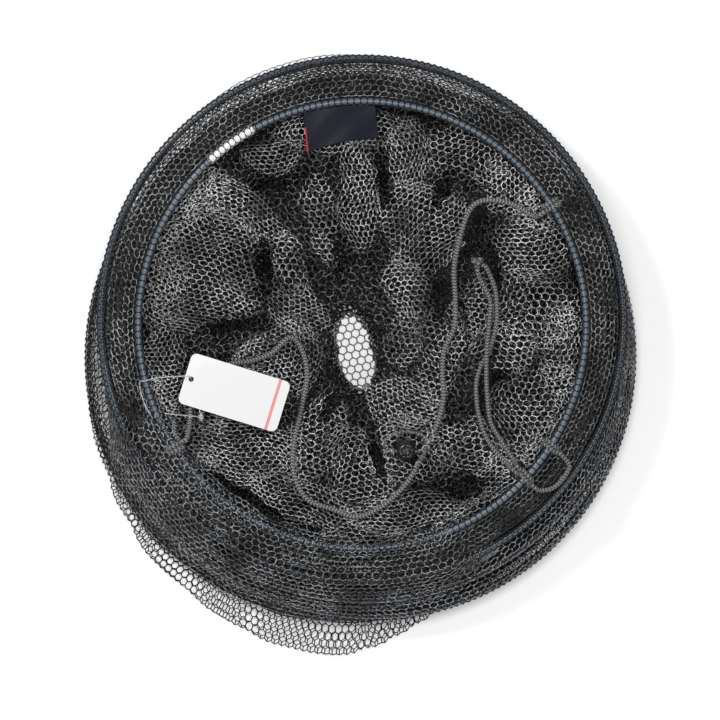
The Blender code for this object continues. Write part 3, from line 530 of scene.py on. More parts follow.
def round_strands():
    """The node tree that turns a guide's edges into round strands with one finish."""
    tree, source, result = new_group(
        "round_strands",
        "GeometryNodeTree",
        {"Guide": "Geometry", "Diameter": "Float", "Sides": "Int", "Finish": "Material"},
        {"Strands": "Geometry"},
    )
    radius = reckoned(tree, "MULTIPLY", source.outputs["Diameter"], 0.5)
    lines = add_node(tree, "GeometryNodeMeshToCurve", {"Mesh": source.outputs["Guide"]})
    ring = add_node(tree, "GeometryNodeCurvePrimitiveCircle", {
        "Radius": radius,
        "Resolution": source.outputs["Sides"],
    })
    drawn = add_node(tree, "GeometryNodeCurveToMesh", {
        "Curve": lines.outputs["Curve"],
        "Profile Curve": ring.outputs["Curve"],
    })
    smooth = add_node(tree, "GeometryNodeSetShadeSmooth", {"Geometry": drawn.outputs["Mesh"]})
    real = add_node(tree, "GeometryNodeRealizeInstances", {"Geometry": smooth.outputs["Geometry"]})
    paint = add_node(tree, "GeometryNodeSetMaterial", {
        "Geometry": real.outputs["Geometry"],
        "Material": source.outputs["Finish"],
    })
    fill_in(tree, result, {"Strands": paint.outputs["Geometry"]})
    return tree


strands_tree = round_strands()
strand_sockets = {item.name: item.identifier for item in strands_tree.interface.items_tree}


def baked(piece):
    """A mesh of a piece with its modifiers applied."""
    bpy.context.view_layer.update()
    return bpy.data.meshes.new_from_object(piece.evaluated_get(bpy.context.evaluated_depsgraph_get()))


def strands(name, net, diameter, finish, sides=3):
    """A piece of round strands along a net's edges, which run between its points."""
    points, edges = net
    mesh = bpy.data.meshes.new(name + "_guide")
    mesh.vertices.add(len(points))
    mesh.vertices.foreach_set("co", np.ascontiguousarray(points, dtype=np.float32).ravel())
    mesh.edges.add(len(edges))
    mesh.edges.foreach_set("vertices", np.ascontiguousarray(edges, dtype=np.int32).ravel())
    mesh.update()
    piece = put_in_scene(name, mesh)
    drawn = piece.modifiers.new("strands", "NODES")
    drawn.node_group = strands_tree
    drawn[strand_sockets["Diameter"]] = float(diameter)
    drawn[strand_sockets["Sides"]] = sides
    drawn[strand_sockets["Finish"]] = finish
    result = baked(piece)
    result.name = name
    piece.modifiers.remove(drawn)
    piece.data = result
    bpy.data.meshes.remove(mesh)
    return piece


def netting(columns, rows, place, closed=True, floor=0.0):
    """A net of hexagons, closed round a ring or open at its sides, kept above a floor.

    place(columns, row) gives the points of an array of columns in one row; both may be fractions.
    A point that it gives as nan is left out, with the strands that run to it.
    """
    half = np.arange(2 * columns)
    chains = []
    edges = []
    for j in range(rows + 1):
        high = (half + j) % 2 == 0
        spots = np.empty((2 * columns, 3))
        spots[high] = place(half[high] / 2, j + 1 / 6)
        spots[~high] = place(half[~high] / 2, j - 1 / 6)
        chains.append(spots)
        steps = np.stack([half, np.roll(half, -1)], axis=1) + j * 2 * columns
        edges.append(steps if closed else steps[:-1])
    points = list(chains)
    at = (rows + 1) * 2 * columns
    for j in range(rows):
        high = (half + j) % 2 == 0
        pairs = np.stack([chains[j][high], chains[j + 1][high]], axis=1)
        points.append(pairs.reshape(-1, 3))
        edges.append(np.arange(2 * len(pairs)).reshape(-1, 2) + at)
        at += 2 * len(pairs)
    points = np.vstack(points)
    edges = np.vstack(edges)
    points[:, 2] = np.maximum(points[:, 2], floor)
    edges = edges[~np.isnan(points[edges, 0]).any(axis=1)]
    used, edges = np.unique(edges, return_inverse=True)
    return points[used], edges.reshape(-1, 2)


def put_together(patches):
    """One set of points and edges from several patches of netting."""
    points = []
    edges = []
    count = 0
    for patch_points, patch_edges in patches:
        points.append(patch_points)
        edges.append(patch_edges + count)
        count += len(patch_points)
    return np.vstack(points), np.vstack(edges)


def painted_glints():
    """Black nylon filaments with short silver glints painted into the colour, more in some painted lit
    zones than others.
    """
    tree, source, result = new_group(
        "painted_glints",
        "ShaderNodeTree",
        {"Black": "Color", "Silver": "Color", "Scale": "Float"},
        {"Colour": "Color", "Roughness": "Float"},
    )
    fleck = grain(tree, source.outputs["Scale"])
    # Painted highlight: silver is mixed into the colour where the noise is high, and a slow noise paints
    # lit zones with more of it.
    painted_glint = spread(tree, fleck, 0.0, 1.0, 0.42, 0.55, "SMOOTHSTEP")
    painted_light_zone = spread(tree, grain(tree, 34, 3), 0.16, 1.0, 0.34, 0.62)
    share = reckoned(tree, "MULTIPLY", painted_glint, painted_light_zone)
    fill_in(tree, result, {
        "Colour": mixed(tree, share, source.outputs["Black"], source.outputs["Silver"]),
        "Roughness": spread(tree, fleck, 0.42, 0.22),
    })
    return tree


glints_group = painted_glints()


def nylon_finish(name, black, silver, glint_scale, shine):
    """Knotless black nylon netting in lit and shaded copies: painted highlight makes it brighter on top of
    the folds, and painted shade nearly black deep among them.
    """
    made, tree, shader = new_finish(name)
    yarns = {"Black": (*black, 1), "Silver": (*silver, 1), "Scale": glint_scale}
    flecked = add_node(tree, "ShaderNodeGroup", yarns, node_tree=glints_group)
    fill_in(tree, shader, {
        "Base Color": flecked.outputs["Colour"],
        "Roughness": flecked.outputs["Roughness"],
        "Specular IOR Level": shine,
    })
    return made


# Lit and shaded copies of one black nylon. Their silver glints are painted highlight, brightest on top. The
# darker copies, with less shine, are painted shade for the layers deeper down.
lit_nylon = nylon_finish("painted_lit_nylon", (0.01, 0.0102, 0.011), (0.97, 0.975, 0.985), 620, 1.0)
half_lit_nylon = nylon_finish("half_lit_nylon", (0.006, 0.0062, 0.0067), (0.5, 0.51, 0.525), 620, 0.45)
dim_nylon = nylon_finish("dim_nylon", (0.004, 0.0042, 0.0046), (0.34, 0.345, 0.355), 620, 0.25)
shaded_nylon = nylon_finish("shaded_nylon", (0.004, 0.0042, 0.0046), (0.07, 0.0715, 0.075), 700, 0.15)
deep_nylon = nylon_finish("black_nylon", (0.002, 0.0021, 0.0025), (0.02, 0.0205, 0.022), 500, 0.12)


def waver(angles, seed, slowest, fastest):
    """A closed wavering line round the net, between about -1 and 1."""
    draw = np.random.default_rng(seed)
    total = np.zeros_like(angles)
    weights = 0.0
    for turns in range(slowest, fastest + 1):
        weight = draw.uniform(0.5, 1.0) / math.sqrt(turns)
        total = total + weight * np.sin(turns * angles + draw.uniform(0, TURN))
        weights += weight * weight
    return total / math.sqrt(weights * 2)


def bump_at(angles, middle, half_width, power):
    """1 at the middle, falling to 0 on both sides; the middle and the half width are in degrees."""
    away = (angles - math.radians(middle) + math.pi) % TURN - math.pi
    return np.exp(-np.abs(away / math.radians(half_width)) ** power)


# The lashing
# The netting is wrapped over each hoop's sheath, which makes the sheath look beaded. The wrap is
# open underneath, where the hoops stand on each other's netting.
LASHING_STRAND = 0.95 * MM
LASHING_ROWS = 3
LASHING_ROW_TURN = math.radians(100)
LASHING_START = TURN / 4 - LASHING_ROWS * LASHING_ROW_TURN / 2


def lashing_netting(centre, radius, sleeve_angle):
    """Netting wrapped over one hoop's sheath, a little wider where the sleeve is."""
    columns = round(TURN * radius / GATHERED_MESH)
    sleeve_half = math.degrees(SLEEVE_HALF / radius)

    def place(column, row):
        angles = column / columns * TURN
        turn = LASHING_START + row * LASHING_ROW_TURN
        reach = HOOP_RADIUS + 0.42 * MM + 0.4 * MM * bump_at(angles, sleeve_angle, sleeve_half, 8)
        out = radius - LASHING_ROOM + reach * math.cos(turn)
        height = centre[2] + reach * math.sin(turn)
        return on_circle(centre, out, angles + 0.002 * waver(angles, 11, 9, 24), height)

    return netting(columns, LASHING_ROWS, place, floor=LASHING_STRAND / 2)


lashings = {}
for name, body, centre, radius, sleeve_angle in HOOPS:
    net = lashing_netting(centre, radius, sleeve_angle)
    lashings[name] = strands(name + "_hoop_lashing", net, LASHING_STRAND, deep_nylon)
    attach(lashings[name], body)


# The walls
# Four lengths of netting between the hoops. Let down, each falls into folds that lie to and fro
# between the heap and the hoops' rims, and the lowest spills out over the ground at one side.
WALL_COLUMNS = 258
WALL_ROWS = 41
WALL_STRAND = 0.95 * MM
# How far above and below a hoop's middle the netting starts, and the gap that between_hoops takes from each
# hoop's middle
HOOP_GAP = 3.2 * MM
STRETCH_GAP = 3.3 * MM
MOUTH_CENTRE = (-0.3 * MM, 20.7 * MM)
HEAP_RADIUS = 139.5 * MM
# How far the lowest wall spills past its hoop, in millimetres, at these angles in degrees
SPILL_ANGLES = (
    180, 205, 220.5, 226.5, 234.6, 241, 247.6, 254.5,
    261.8, 266.5, 270.4, 275.2, 281.6, 289.9, 305, 330,
)
SPILL_REACHES = (
    1, 5, 12, 14.9, 17.3, 18.3, 21, 22.9,
    24.2, 24.6, 23.6, 20, 13.6, 5.3, 1, 0,
)
# Each wall's piece and node, the level of the hoop under it, its folds and its finish
# Painted shade: the walls take darker copies of the nylon, the darkest for the three lower walls.
WALLS = (
    ("first_wall_netting", "first_wall_net", 0, 7, deep_nylon),
    ("second_wall_netting", "second_wall_net", 1, 5, deep_nylon),
    ("third_wall_netting", "third_wall_net", 2, 5, deep_nylon),
    ("fourth_wall_netting", "fourth_wall_net", 3, 5, shaded_nylon),
)


def wall_turnings(level, folds, angles):
    """The lines that a wall's netting folds along, from its lower hoop to its upper hoop."""
    _, _, low, low_radius, _ = HOOPS[level]
    _, _, high, high_radius, _ = HOOPS[level + 1]
    low = np.array(low)
    high = np.array(high)
    floor = low[2] + HOOP_GAP
    ceiling = high[2] - HOOP_GAP
    spill = np.interp(angles % TURN, np.radians(SPILL_ANGLES), np.array(SPILL_REACHES) * MM)
    spill = spill * (level == 0)
    sparse = 14 * MM * bump_at(angles, 80, 34, 4) + 6 * MM * bump_at(angles, 148, 16, 4)
    sparse = sparse * (level >= 2)
    lines = [on_circle(low, low_radius, angles, floor)]
    for fold in range(1, folds):
        share = fold / folds
        height = floor + (ceiling - floor) * share + 0.1 * MM * waver(angles, 70 + 10 * level + fold, 5, 30)
        uneven = waver(angles, 20 + 10 * level + fold, 3, 16)
        if level == 0 and fold == 1:
            reach = low_radius + spill + 1.2 * MM * waver(angles, 5, 6, 40)
            settled = np.clip(spill / (12 * MM), 0, 1)
            lines.append(on_circle(low, reach, angles, height + (1.6 * MM - height) * settled))
        elif level == 0 and fold == 2:
            lines.append(on_circle(low, low_radius - 1.0 * MM, angles, np.maximum(height, 7.2 * MM)))
        elif fold % 2 == 1:
            inner = HEAP_RADIUS + 6.5 * MM + 4 * MM * (uneven * 0.5 + 0.5) + 0.25 * spill
            lines.append(on_circle(MOUTH_CENTRE, inner, angles, height))
        else:
            centre = low + (high - low) * share
            radius = BIG_RADIUS if level < 3 else BIG_RADIUS + (high_radius - low_radius) * share * 0.5
            outer = radius - 1.0 * MM + 1.6 * MM * uneven - sparse
            lines.append(on_circle(centre, outer, angles, height))
    lines.append(on_circle(high, high_radius, angles, ceiling))
    return lines


def along_lines(lines, share, bow=0.0):
    """Points a share of the way along the netting that runs over a row of lines, with a little bow."""
    spans = [np.linalg.norm(b - a, axis=1) for a, b in zip(lines, lines[1:])]
    wanted = min(max(share, 0.0), 1.0) * sum(spans)
    walked = np.zeros_like(spans[0])
    spots = lines[0].copy()
    for start, end, span in zip(lines, lines[1:], spans):
        part = np.clip((wanted - walked) / np.maximum(span, 1e-9), 0, 1)
        inside = wanted >= walked
        bowed = start + (end - start) * part[:, None]
        bowed[:, 2] += bow * np.sin(math.pi * part)
        spots[inside] = bowed[inside]
        walked = walked + span
    return spots


def swung(spots, swing):
    """Points turned about the mouth's middle."""
    x = spots[:, 0] - MOUTH_CENTRE[0]
    y = spots[:, 1] - MOUTH_CENTRE[1]
    spots[:, 0] = MOUTH_CENTRE[0] + x * np.cos(swing) - y * np.sin(swing)
    spots[:, 1] = MOUTH_CENTRE[1] + x * np.sin(swing) + y * np.cos(swing)
    return spots


def stretched(piece, level, low, high):
    """Bakes a piece's place into its mesh; the level and the two heights are not used."""
    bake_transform(piece)


def between_hoops(level):
    """The heights a little above one hoop and a little below the next."""
    return HOOPS[level][2][2] + STRETCH_GAP, HOOPS[level + 1][2][2] - STRETCH_GAP


# The fold that falls over the mouth hoop and the hoops below it, on the side where the net spills
FOLD_START = 196
FOLD_END = 302
FOLD_COLUMNS = 56
FOLD_ROWS = 19


def fold_netting(layer, lift):
    """One of the fold's two layers, lifted off the middle between them."""
    _, _, mouth_at, mouth_radius, _ = HOOPS[4]
    _, _, upper_at, upper_radius, _ = HOOPS[3]
    _, _, bottom_at, bottom_radius, _ = HOOPS[0]

    def place(column, row):
        across = (column + 0.4 * layer) / FOLD_COLUMNS
        angles = np.radians(FOLD_START + (FOLD_END - FOLD_START) * across)
        share = (row + 0.37 * layer) / FOLD_ROWS
        ends = np.clip(np.minimum(across, 1 - across) / 0.12, 0, 1)
        ends = ends * ends * (3 - 2 * ends)
        crease = waver(angles, 130 + layer, 9, 34)
        lines = [
            on_circle(mouth_at, mouth_radius - 7.5 * MM + 1.5 * MM * crease, angles, 51 * MM),
            on_circle(mouth_at, mouth_radius - 3.2 * MM, angles, 57 * MM + lift),
            on_circle(mouth_at, mouth_radius + 1.5 * MM, angles, 58.6 * MM + lift),
            on_circle(mouth_at, mouth_radius + 10 * MM + 2 * MM * crease, angles, 51 * MM + lift),
            on_circle(upper_at, upper_radius - 5 * MM, angles, 47.5 * MM + lift + 1.5 * MM * crease),
            on_circle(upper_at, upper_radius + 1 * MM, angles, 46.2 * MM + lift),
        ]
        rim = on_circle(bottom_at, bottom_radius + 2.5 * MM + 1.2 * MM * crease, angles, 8 * MM + lift)
        lines.append(lines[-1] + (rim - lines[-1]) * (0.12 + 0.88 * ends)[:, None])
        spots = along_lines(lines, share, 1.2 * MM)
        spots[:, 2] += 0.9 * MM * waver(angles + share * 0.8, 140 + layer, 20, 60)
        spots[:, 2] -= 9 * MM * (1 - ends) * (1 - 0.6 * share)
        spots[:, 2] = np.maximum(spots[:, 2], 1 * MM)
        return swung(spots, 0.012 * np.sin(share * 5 + 3 * angles))

    return netting(FOLD_COLUMNS, FOLD_ROWS, place, closed=False)


# The fold's top layer is painted half-lit, and the layer under it is painted shade.
fold_layers = [
    strands("fallen_fold_netting", fold_netting(0, 0.9 * MM), STRAND, half_lit_nylon),
    strands("fallen_fold_under_netting", fold_netting(1, -0.9 * MM), DEEP_STRAND, shaded_nylon),
]
for piece in fold_layers:
    stretched(piece, 3, 48 * MM, 56 * MM)

# The outermost pass of each lower wall, which lies open over the rims from hoop to hoop
SIDE_COLUMNS = 204
SIDE_ROWS = 4


def side_netting(level):
    """The outermost pass of one lower wall."""
    _, _, low, low_radius, _ = HOOPS[level]
    _, _, high, high_radius, _ = HOOPS[level + 1]
    middle = [(a + b) / 2 for a, b in zip(low, high)]

    def place(column, row):
        angles = (column + 0.3 * level) / SIDE_COLUMNS * TURN
        crease = waver(angles, 160 + level, 9, 40)
        spilt = 5 * MM * bump_at(angles, 108, 16, 4) * (level == 2)
        rim = (low_radius + high_radius) / 2 + 1.5 * MM + 1.3 * MM * crease + spilt
        lines = [
            on_circle(low, low_radius + 1.6 * MM, angles, low[2] + 2.9 * MM),
            on_circle(middle, rim, angles, middle[2]),
            on_circle(high, high_radius + 1.6 * MM + spilt / 2, angles, high[2] - 2.9 * MM),
        ]
        spots = along_lines(lines, row / SIDE_ROWS, 0.6 * MM)
        return swung(spots, 0.01 * np.sin(row * 0.9 + 7 * angles))

    return netting(SIDE_COLUMNS, SIDE_ROWS, place)


# The open passes are painted half-lit, a dimmer copy of the nylon than the heap's top.
open_passes = []
for level, (name, *_) in enumerate(WALLS[:3]):
    name = name.replace("netting", "open_netting")
    open_passes.append(strands(name, side_netting(level), STRAND, half_lit_nylon))
    stretched(open_passes[level], level, *between_hoops(level))

# The last pass of the fourth wall, which lies open over the others, up to the mouth hoop
PASS_COLUMNS = 196
PASS_ROWS = 8


def pass_place(column, row):
    angles = column / PASS_COLUMNS * TURN
    _, _, mouth_at, mouth_radius, _ = HOOPS[4]
    _, _, upper_at, upper_radius, _ = HOOPS[3]
    crease = waver(angles, 150, 7, 30)
    wide = waver(angles, 151, 3, 12)
    lines = [
        on_circle(upper_at, upper_radius - 9 * MM + 3 * MM * wide, angles, 40.5 * MM),
        on_circle(upper_at, upper_radius - 3.6 * MM, angles, 44.5 * MM + 0.8 * MM * crease),
        on_circle(upper_at, upper_radius - 8 * MM + 2 * MM * wide, angles, 48.5 * MM + 1.5 * MM * crease),
        on_circle(mouth_at, mouth_radius + 7 * MM + 2 * MM * crease, angles, 51.5 * MM),
        on_circle(mouth_at, mouth_radius + 3 * MM, angles, 54 * MM),
    ]
    spots = along_lines(lines, row / PASS_ROWS, 0.8 * MM)
    spots[:, 2] += 0.8 * MM * waver(angles + row * 0.05, 152, 24, 70)
    return swung(spots, 0.012 * np.sin(row * 0.7 + 5 * angles))


open_pass = netting(PASS_COLUMNS, PASS_ROWS, pass_place)
# Painted half-lit, like the other open passes.
open_pass = strands("fourth_wall_open_netting", open_pass, STRAND, half_lit_nylon)
stretched(open_pass, 3, 44.5 * MM, 53 * MM)
fold_layers.append(open_pass)


def wall_netting(level, folds):
    """One wall, folded to and fro, with its rows drawn a little to one side and the other."""

    def place(column, row):
        angles = column / WALL_COLUMNS * TURN
        share = min(max(row / WALL_ROWS, 0.0), 1.0)
        spots = along_lines(wall_turnings(level, folds, angles), share)
        return swung(spots, 0.02 * waver(angles, 40 + level, 2, 7) * math.sin(math.pi * share))

    return netting(WALL_COLUMNS, WALL_ROWS, place, floor=STRAND / 2)


for name, node, level, folds, finish in WALLS:
    piece = strands(name, wall_netting(level, folds), WALL_STRAND, finish)
    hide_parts(node)
    stretched(piece, level, *between_hoops(level))


# The heap
# The closed end of the net, dropped inside the bottom hoop. It falls in broad lobes that lie over
# each other, with deep creases between them, down to the flat panel in the middle.
HEAP_CREST_HEIGHT = 46.5 * MM
HEAP_REACH = 145.0 * MM
WINDOW_CENTRE = (-4.9 * MM, 3.6 * MM)
WINDOW_HALF = (13.5 * MM, 27 * MM)
WINDOW_TILT = math.radians(12)
# The opening left between the heap's folds over the panel, in millimetres
WINDOW_OUTLINE = (
    (-17.4, 35.2), (-8.2, 34.6), (2.3, 28.0), (7.6, 17.4), (8.2, 5.6), (5.6, -10.2),
    (1.0, -22.1), (-3.6, -28.6), (-6.9, -12.2), (-11.5, 1.0), (-14.2, 11.5), (-16.1, 24.0),
)
# Each lobe's middle, its half width and half length in millimetres, the turn of its rows in
# degrees, how far it rises, and how closely its meshes are drawn together across and along
LOBES = (
    (-102, 58, 45, 46, -20, 9, 1.0, 0.64),
    (-48, 58, 13, 23, 4, 7, 1.0, 0.86),
    (-58, 131, 21, 12, 12, 5, 0.8, 0.62),
    (-80, 99, 36, 15, -36, 7, 0.9, 0.6),
    (-27, 94, 13, 31, 10, 8, 0.82, 0.9),
    (-2, 104, 15, 40, 2, 6, 0.66, 0.9),
    (66, 133, 29, 18, -22, 6, 0.94, 0.86),
    (28, 132, 18, 24, 6, 7, 0.62, 0.92),
    (38, 88, 30, 33, 40, 8, 0.92, 0.7),
    (112, 72, 28, 26, 8, 8, 0.95, 0.72),
    (115, 31, 29, 29, 6, 6, 1.0, 1.0),
    (77, 36, 10, 21, -12, 5, 0.8, 0.76),
    (30, 44, 16, 28, 12, 7, 0.8, 0.76),
    (93, 3, 24, 19, 10, 4, 1.0, 0.92),
    (115, -29, 25, 33, -58, 7, 0.98, 0.84),
    (70, -60, 29, 18, -18, 5, 0.96, 0.8),
    (-3, -72, 22, 29, 20, 7, 0.9, 0.82),
    (26, -31, 26, 18, -25, 6, 0.95, 0.6),
    (27, 12, 14, 22, -6, 4, 0.9, 0.8),
    (-80, -62, 38, 24, -5, 8, 1.0, 0.62),
    (-30, -56, 19, 34, -30, 7, 0.92, 0.9),
    (-129, -8, 15, 32, 5, 6, 0.72, 0.7),
    (-52, 1, 29, 24, 20, 5, 0.76, 0.7),
    (-42, 31, 25, 16, -30, 4, 0.9, 0.6),
    (51, 6, 17, 34, -8, 4, 0.86, 0.84),
    (-42, -95, 42, 15, -20, 5, 0.96, 0.6),
    (26, -103, 42, 14, 8, 5, 0.96, 0.6),
    (92, -76, 30, 14, 36, 5, 0.9, 0.62),
    (-92, -28, 30, 24, 12, 4, 0.84, 0.76),
    (120, 101, 19, 20, -6, 5, 0.8, 0.72),
    (97, 112, 18, 20, 30, 6, 0.8, 0.72),
    (-104, 104, 24, 12, 44, 5, 0.9, 0.6),
    (-24, 146, 34, 13, 4, 5, 0.8, 0.8),
    (-112, -68, 20, 15, -48, 5, 0.8, 0.62),
    (30, -63, 27, 22, -14, 8, 0.96, 0.86),
    (-128, 58, 16, 36, 8, 5, 0.9, 0.7),
    (131, 2, 14, 36, 0, 5, 0.8, 0.8),
    (4, 149, 34, 12, -6, 5, 0.86, 0.7),
    (-66, -118, 34, 13, -30, 5, 0.96, 0.62),
    (4, -122, 40, 12, 0, 5, 0.96, 0.62),
    (70, -108, 34, 12, 32, 5, 0.96, 0.62),
    (118, -62, 26, 12, 58, 5, 0.96, 0.66),
    (-132, -38, 12, 26, 18, 5, 0.8, 0.7),
)
LOBE_SPREAD = 1.1
# Each crease's middle, half width and half length in millimetres, turn in degrees, and depth
CREASES = (
    (-65, 60, 7, 24, 4, 15),
    (74, 88, 9, 24, -8, 15),
    (52, 42, 7, 22, -4, 12),
    (67, -86, 18, 10, 10, 13),
    (-79, -92, 40, 6, -32, 11),
    (-14, 66, 6, 22, 12, 9),
    (-58, 114, 22, 6, 6, 10),
    (14, 118, 5, 24, 4, 8),
    (86, 60, 6, 22, 14, 8),
    (88, -14, 16, 5, 10, 7),
    (-20, -30, 6, 18, -32, 8),
    (-84, 20, 34, 6, 8, 8),
    (10, -66, 5, 22, 14, 8),
    (54, 112, 6, 18, -24, 8),
)


def turned_into(x, y, turn_degrees):
    """Distances across and along a lobe or crease that is turned."""
    turn = math.radians(turn_degrees)
    return x * math.cos(turn) + y * math.sin(turn), y * math.cos(turn) - x * math.sin(turn)


def turned_out(centre, across, along, turn):
    """Places at distances across and along from a centre, in axes that are turned."""
    x = centre[0] + across * math.cos(turn) - along * math.sin(turn)
    y = centre[1] + across * math.sin(turn) + along * math.cos(turn)
    return x, y


def heap_share(x, y):
    """0 at the window's edge, 1 at the heap's rim, and below 0 inside the window."""
    from_x = x - WINDOW_CENTRE[0]
    from_y = y - WINDOW_CENTRE[1]
    away = np.hypot(from_x, from_y) + 1e-9
    across, along = turned_into(from_x / away, from_y / away, math.degrees(WINDOW_TILT))
    edge = 1 / np.hypot(across / WINDOW_HALF[0], along / WINDOW_HALF[1])
    to_x = WINDOW_CENTRE[0] - MOUTH_CENTRE[0]
    to_y = WINDOW_CENTRE[1] - MOUTH_CENTRE[1]
    along_ray = to_x * from_x / away + to_y * from_y / away
    rim = np.sqrt(along_ray**2 - to_x**2 - to_y**2 + (HEAP_RADIUS - 3.5 * MM) ** 2) - along_ray
    return (away - edge) / (rim - edge)


def in_window(x, y):
    """Whether each point lies inside the window's outline."""
    inside = np.zeros(x.shape, bool)
    corners = np.array(WINDOW_OUTLINE) * MM
    for (from_x, from_y), (to_x, to_y) in zip(corners, np.roll(corners, -1, axis=0)):
        crossing = (from_y > y) != (to_y > y)
        inside ^= crossing & (x < from_x + (to_x - from_x) * (y - from_y) / (to_y - from_y))
    return inside


# What lies on the netting or under it, as points with how high the netting may or must be there
CORD_ROOM = 0.5 * MM
COVER_RADIUS = 8.5 * MM
COVER_REACH = 7.4 * MM
COVER_POINTS = 40
LOCK_FLOOR = (LOCK_PLACE[2] - 1.5) * MM
BALL_FLOOR = (LOCK_PLACE[2] - 7.3) * MM
lock_place = np.array(LOCK_PLACE) * MM
spot = np.arange(COVER_POINTS)
away = COVER_REACH * np.sqrt(spot / (COVER_POINTS - 1))
over_ball = on_circle(lock_place, away, 2.4 * spot, lock_place[2] + np.sqrt(COVER_RADIUS**2 - away**2))
on_top = []
beneath = list(over_ball)
for node, route, thick in laid_cords:
    route = route[:: round(2 * MM / RING_STEP)]
    if node == "cord_lock_loop":
        beneath += list(route + (0, 0, thick / 2 + CORD_ROOM))
    else:
        on_top += list(route - (0, 0, thick / 2 + CORD_ROOM))
on_top = np.array(on_top)
beneath = np.array(beneath)


def from_lock(x, y):
    """How far points are from the middle of the ball under the netting."""
    return np.hypot(x - lock_place[0], y - lock_place[1])


def fitted(x, y, z, over_lock):
    """Heights of netting pressed down under the cords, and over or under the ball and its loop."""
    for start in range(0, len(x), 2000):
        part = slice(start, start + 2000)
        apart = np.hypot(x[part, None] - on_top[None, :, 0], y[part, None] - on_top[None, :, 1])
        ceiling = (on_top[:, 2] + 0.9 * np.maximum(apart - 1.8 * MM, 0)).min(axis=1)
        carry = (on_top[:, 2] - 0.7 * MM - 1.1 * np.maximum(apart - 1.4 * MM, 0)).max(axis=1)
        pressed = np.minimum(np.maximum(z[part], carry), ceiling)
        apart = np.hypot(x[part, None] - beneath[None, :, 0], y[part, None] - beneath[None, :, 1])
        if over_lock:
            cover = (beneath[:, 2] - 0.75 * np.maximum(apart - 1.0 * MM, 0)).max(axis=1)
            z[part] = np.maximum(pressed, cover)
        else:
            under_loop = LOCK_FLOOR + 0.9 * np.maximum(apart.min(axis=1) - 2.2 * MM, 0)
            under_ball = BALL_FLOOR + 0.9 * np.maximum(from_lock(x[part], y[part]) - 3.0 * MM, 0)
            z[part] = np.minimum(pressed, np.minimum(under_loop, under_ball))
    return z


def crease_at(crease, x, y):
    """1 along the middle of one crease, falling to 0 beside it."""
    at_x, at_y, half_width, half_length, turn, _ = crease
    across, along = turned_into(x - at_x * MM, y - at_y * MM, turn)
    return np.exp(-((across / (half_width * MM)) ** 2 + (along / (half_length * MM)) ** 2))


def in_crease(x, y):
    """1 along the middle of any crease, falling to 0 beside it."""
    return np.max([crease_at(crease, x, y) for crease in CREASES], axis=0)


def heap_height(x, y):
    """The heap's height without its lobes: a bowl with creases and small ripples."""
    share = np.clip(heap_share(x, y), 0, 1)
    past_window = np.minimum(share * 3, 1)
    height = HEAP_CREST_HEIGHT * share**0.65
    for crease in CREASES:
        height = height - crease[-1] * MM * crease_at(crease, x, y) * past_window
    ripple = np.sin(x * 410 + 1.7 * np.sin(y * 190)) * np.sin(y * 350 + 1.3 * np.sin(x * 230 + 2))
    return height + 1.1 * MM * ripple * past_window


# How far out a lobe's netting reaches, as a share of its size, and how deep in a crease it ends
LOBE_EDGE = 1.14
LOBE_PARTED = 0.55
BALL_LOBE = [from_lock(lobe[0] * MM, lobe[1] * MM) < 3 * MM for lobe in LOBES].index(True)


def lobe_netting(number, over_ball=False):
    """Netting over one lobe, which rises in the middle and tucks under its neighbours at its rim.

    The netting stretched over the ball is made apart, with over_ball.
    """
    at_x, at_y, half_width, half_length, lobe_turn, rise, across_share, along_share = LOBES[number]
    columns = math.ceil(2.8 * half_width * MM / (MESH * across_share))
    rows = math.ceil(2.8 * half_length * MM / (MESH_ROW * along_share))
    phases = np.random.default_rng(200 + number).uniform(0, TURN, 4)

    def place(column, row):
        across = (column - columns / 2) * MESH * across_share
        along = np.full_like(across, (row - rows / 2) * MESH_ROW * along_share)
        away = np.hypot(across / (half_width * MM), along / (half_length * MM)) / LOBE_SPREAD
        away = away * (1 + 0.09 * np.sin(3 * np.arctan2(along, across) + phases[0]))
        narrower = 1 - 0.1 * away**2
        wave = np.sin(along * 150 + phases[0] + np.sin(across * 120 + phases[1]))
        across = across * narrower + 1.5 * MM * wave
        wave = np.sin(across * 140 + phases[2] + np.sin(along * 110 + phases[3]))
        along = along * narrower + 1.5 * MM * wave
        x, y = turned_out((at_x * MM, at_y * MM), across, along, math.radians(lobe_turn))
        rim = np.hypot(x - MOUTH_CENTRE[0], y - MOUTH_CENTRE[1])
        inside = np.clip((139 * MM - rim) / (10 * MM), 0, 1)
        tuck = 14 * MM * inside * np.maximum(away - 0.9, 0) / 0.2
        z = heap_height(x, y) + rise * MM * (1 - away**2) - tuck
        z = z + 0.7 * MM * np.sin(across * 520 + phases[1]) * np.sin(along * 90 + phases[2])
        z = np.maximum(fitted(x, y, z, number == BALL_LOBE), 1.5 * MM)
        ceiling = np.where(from_lock(x, y) < COVER_RADIUS, 50.4 * MM, 49.5 * MM)
        spots = np.stack([x, y, np.minimum(z, ceiling)], axis=1)
        gone = (away > LOBE_EDGE) | in_window(x, y) | (rim > HEAP_REACH) | (in_crease(x, y) > LOBE_PARTED)
        if over_ball:
            gone = from_lock(x, y) > COVER_RADIUS
        elif number == BALL_LOBE:
            gone = gone | (from_lock(x, y) < COVER_RADIUS - MESH / 3)
        spots[gone] = np.nan
        return spots

    return netting(columns, rows, place, closed=False)


# Layers less deep than this under the lobes still show, and part at the creases as the lobes do
SHADED_DROP = 3 * MM


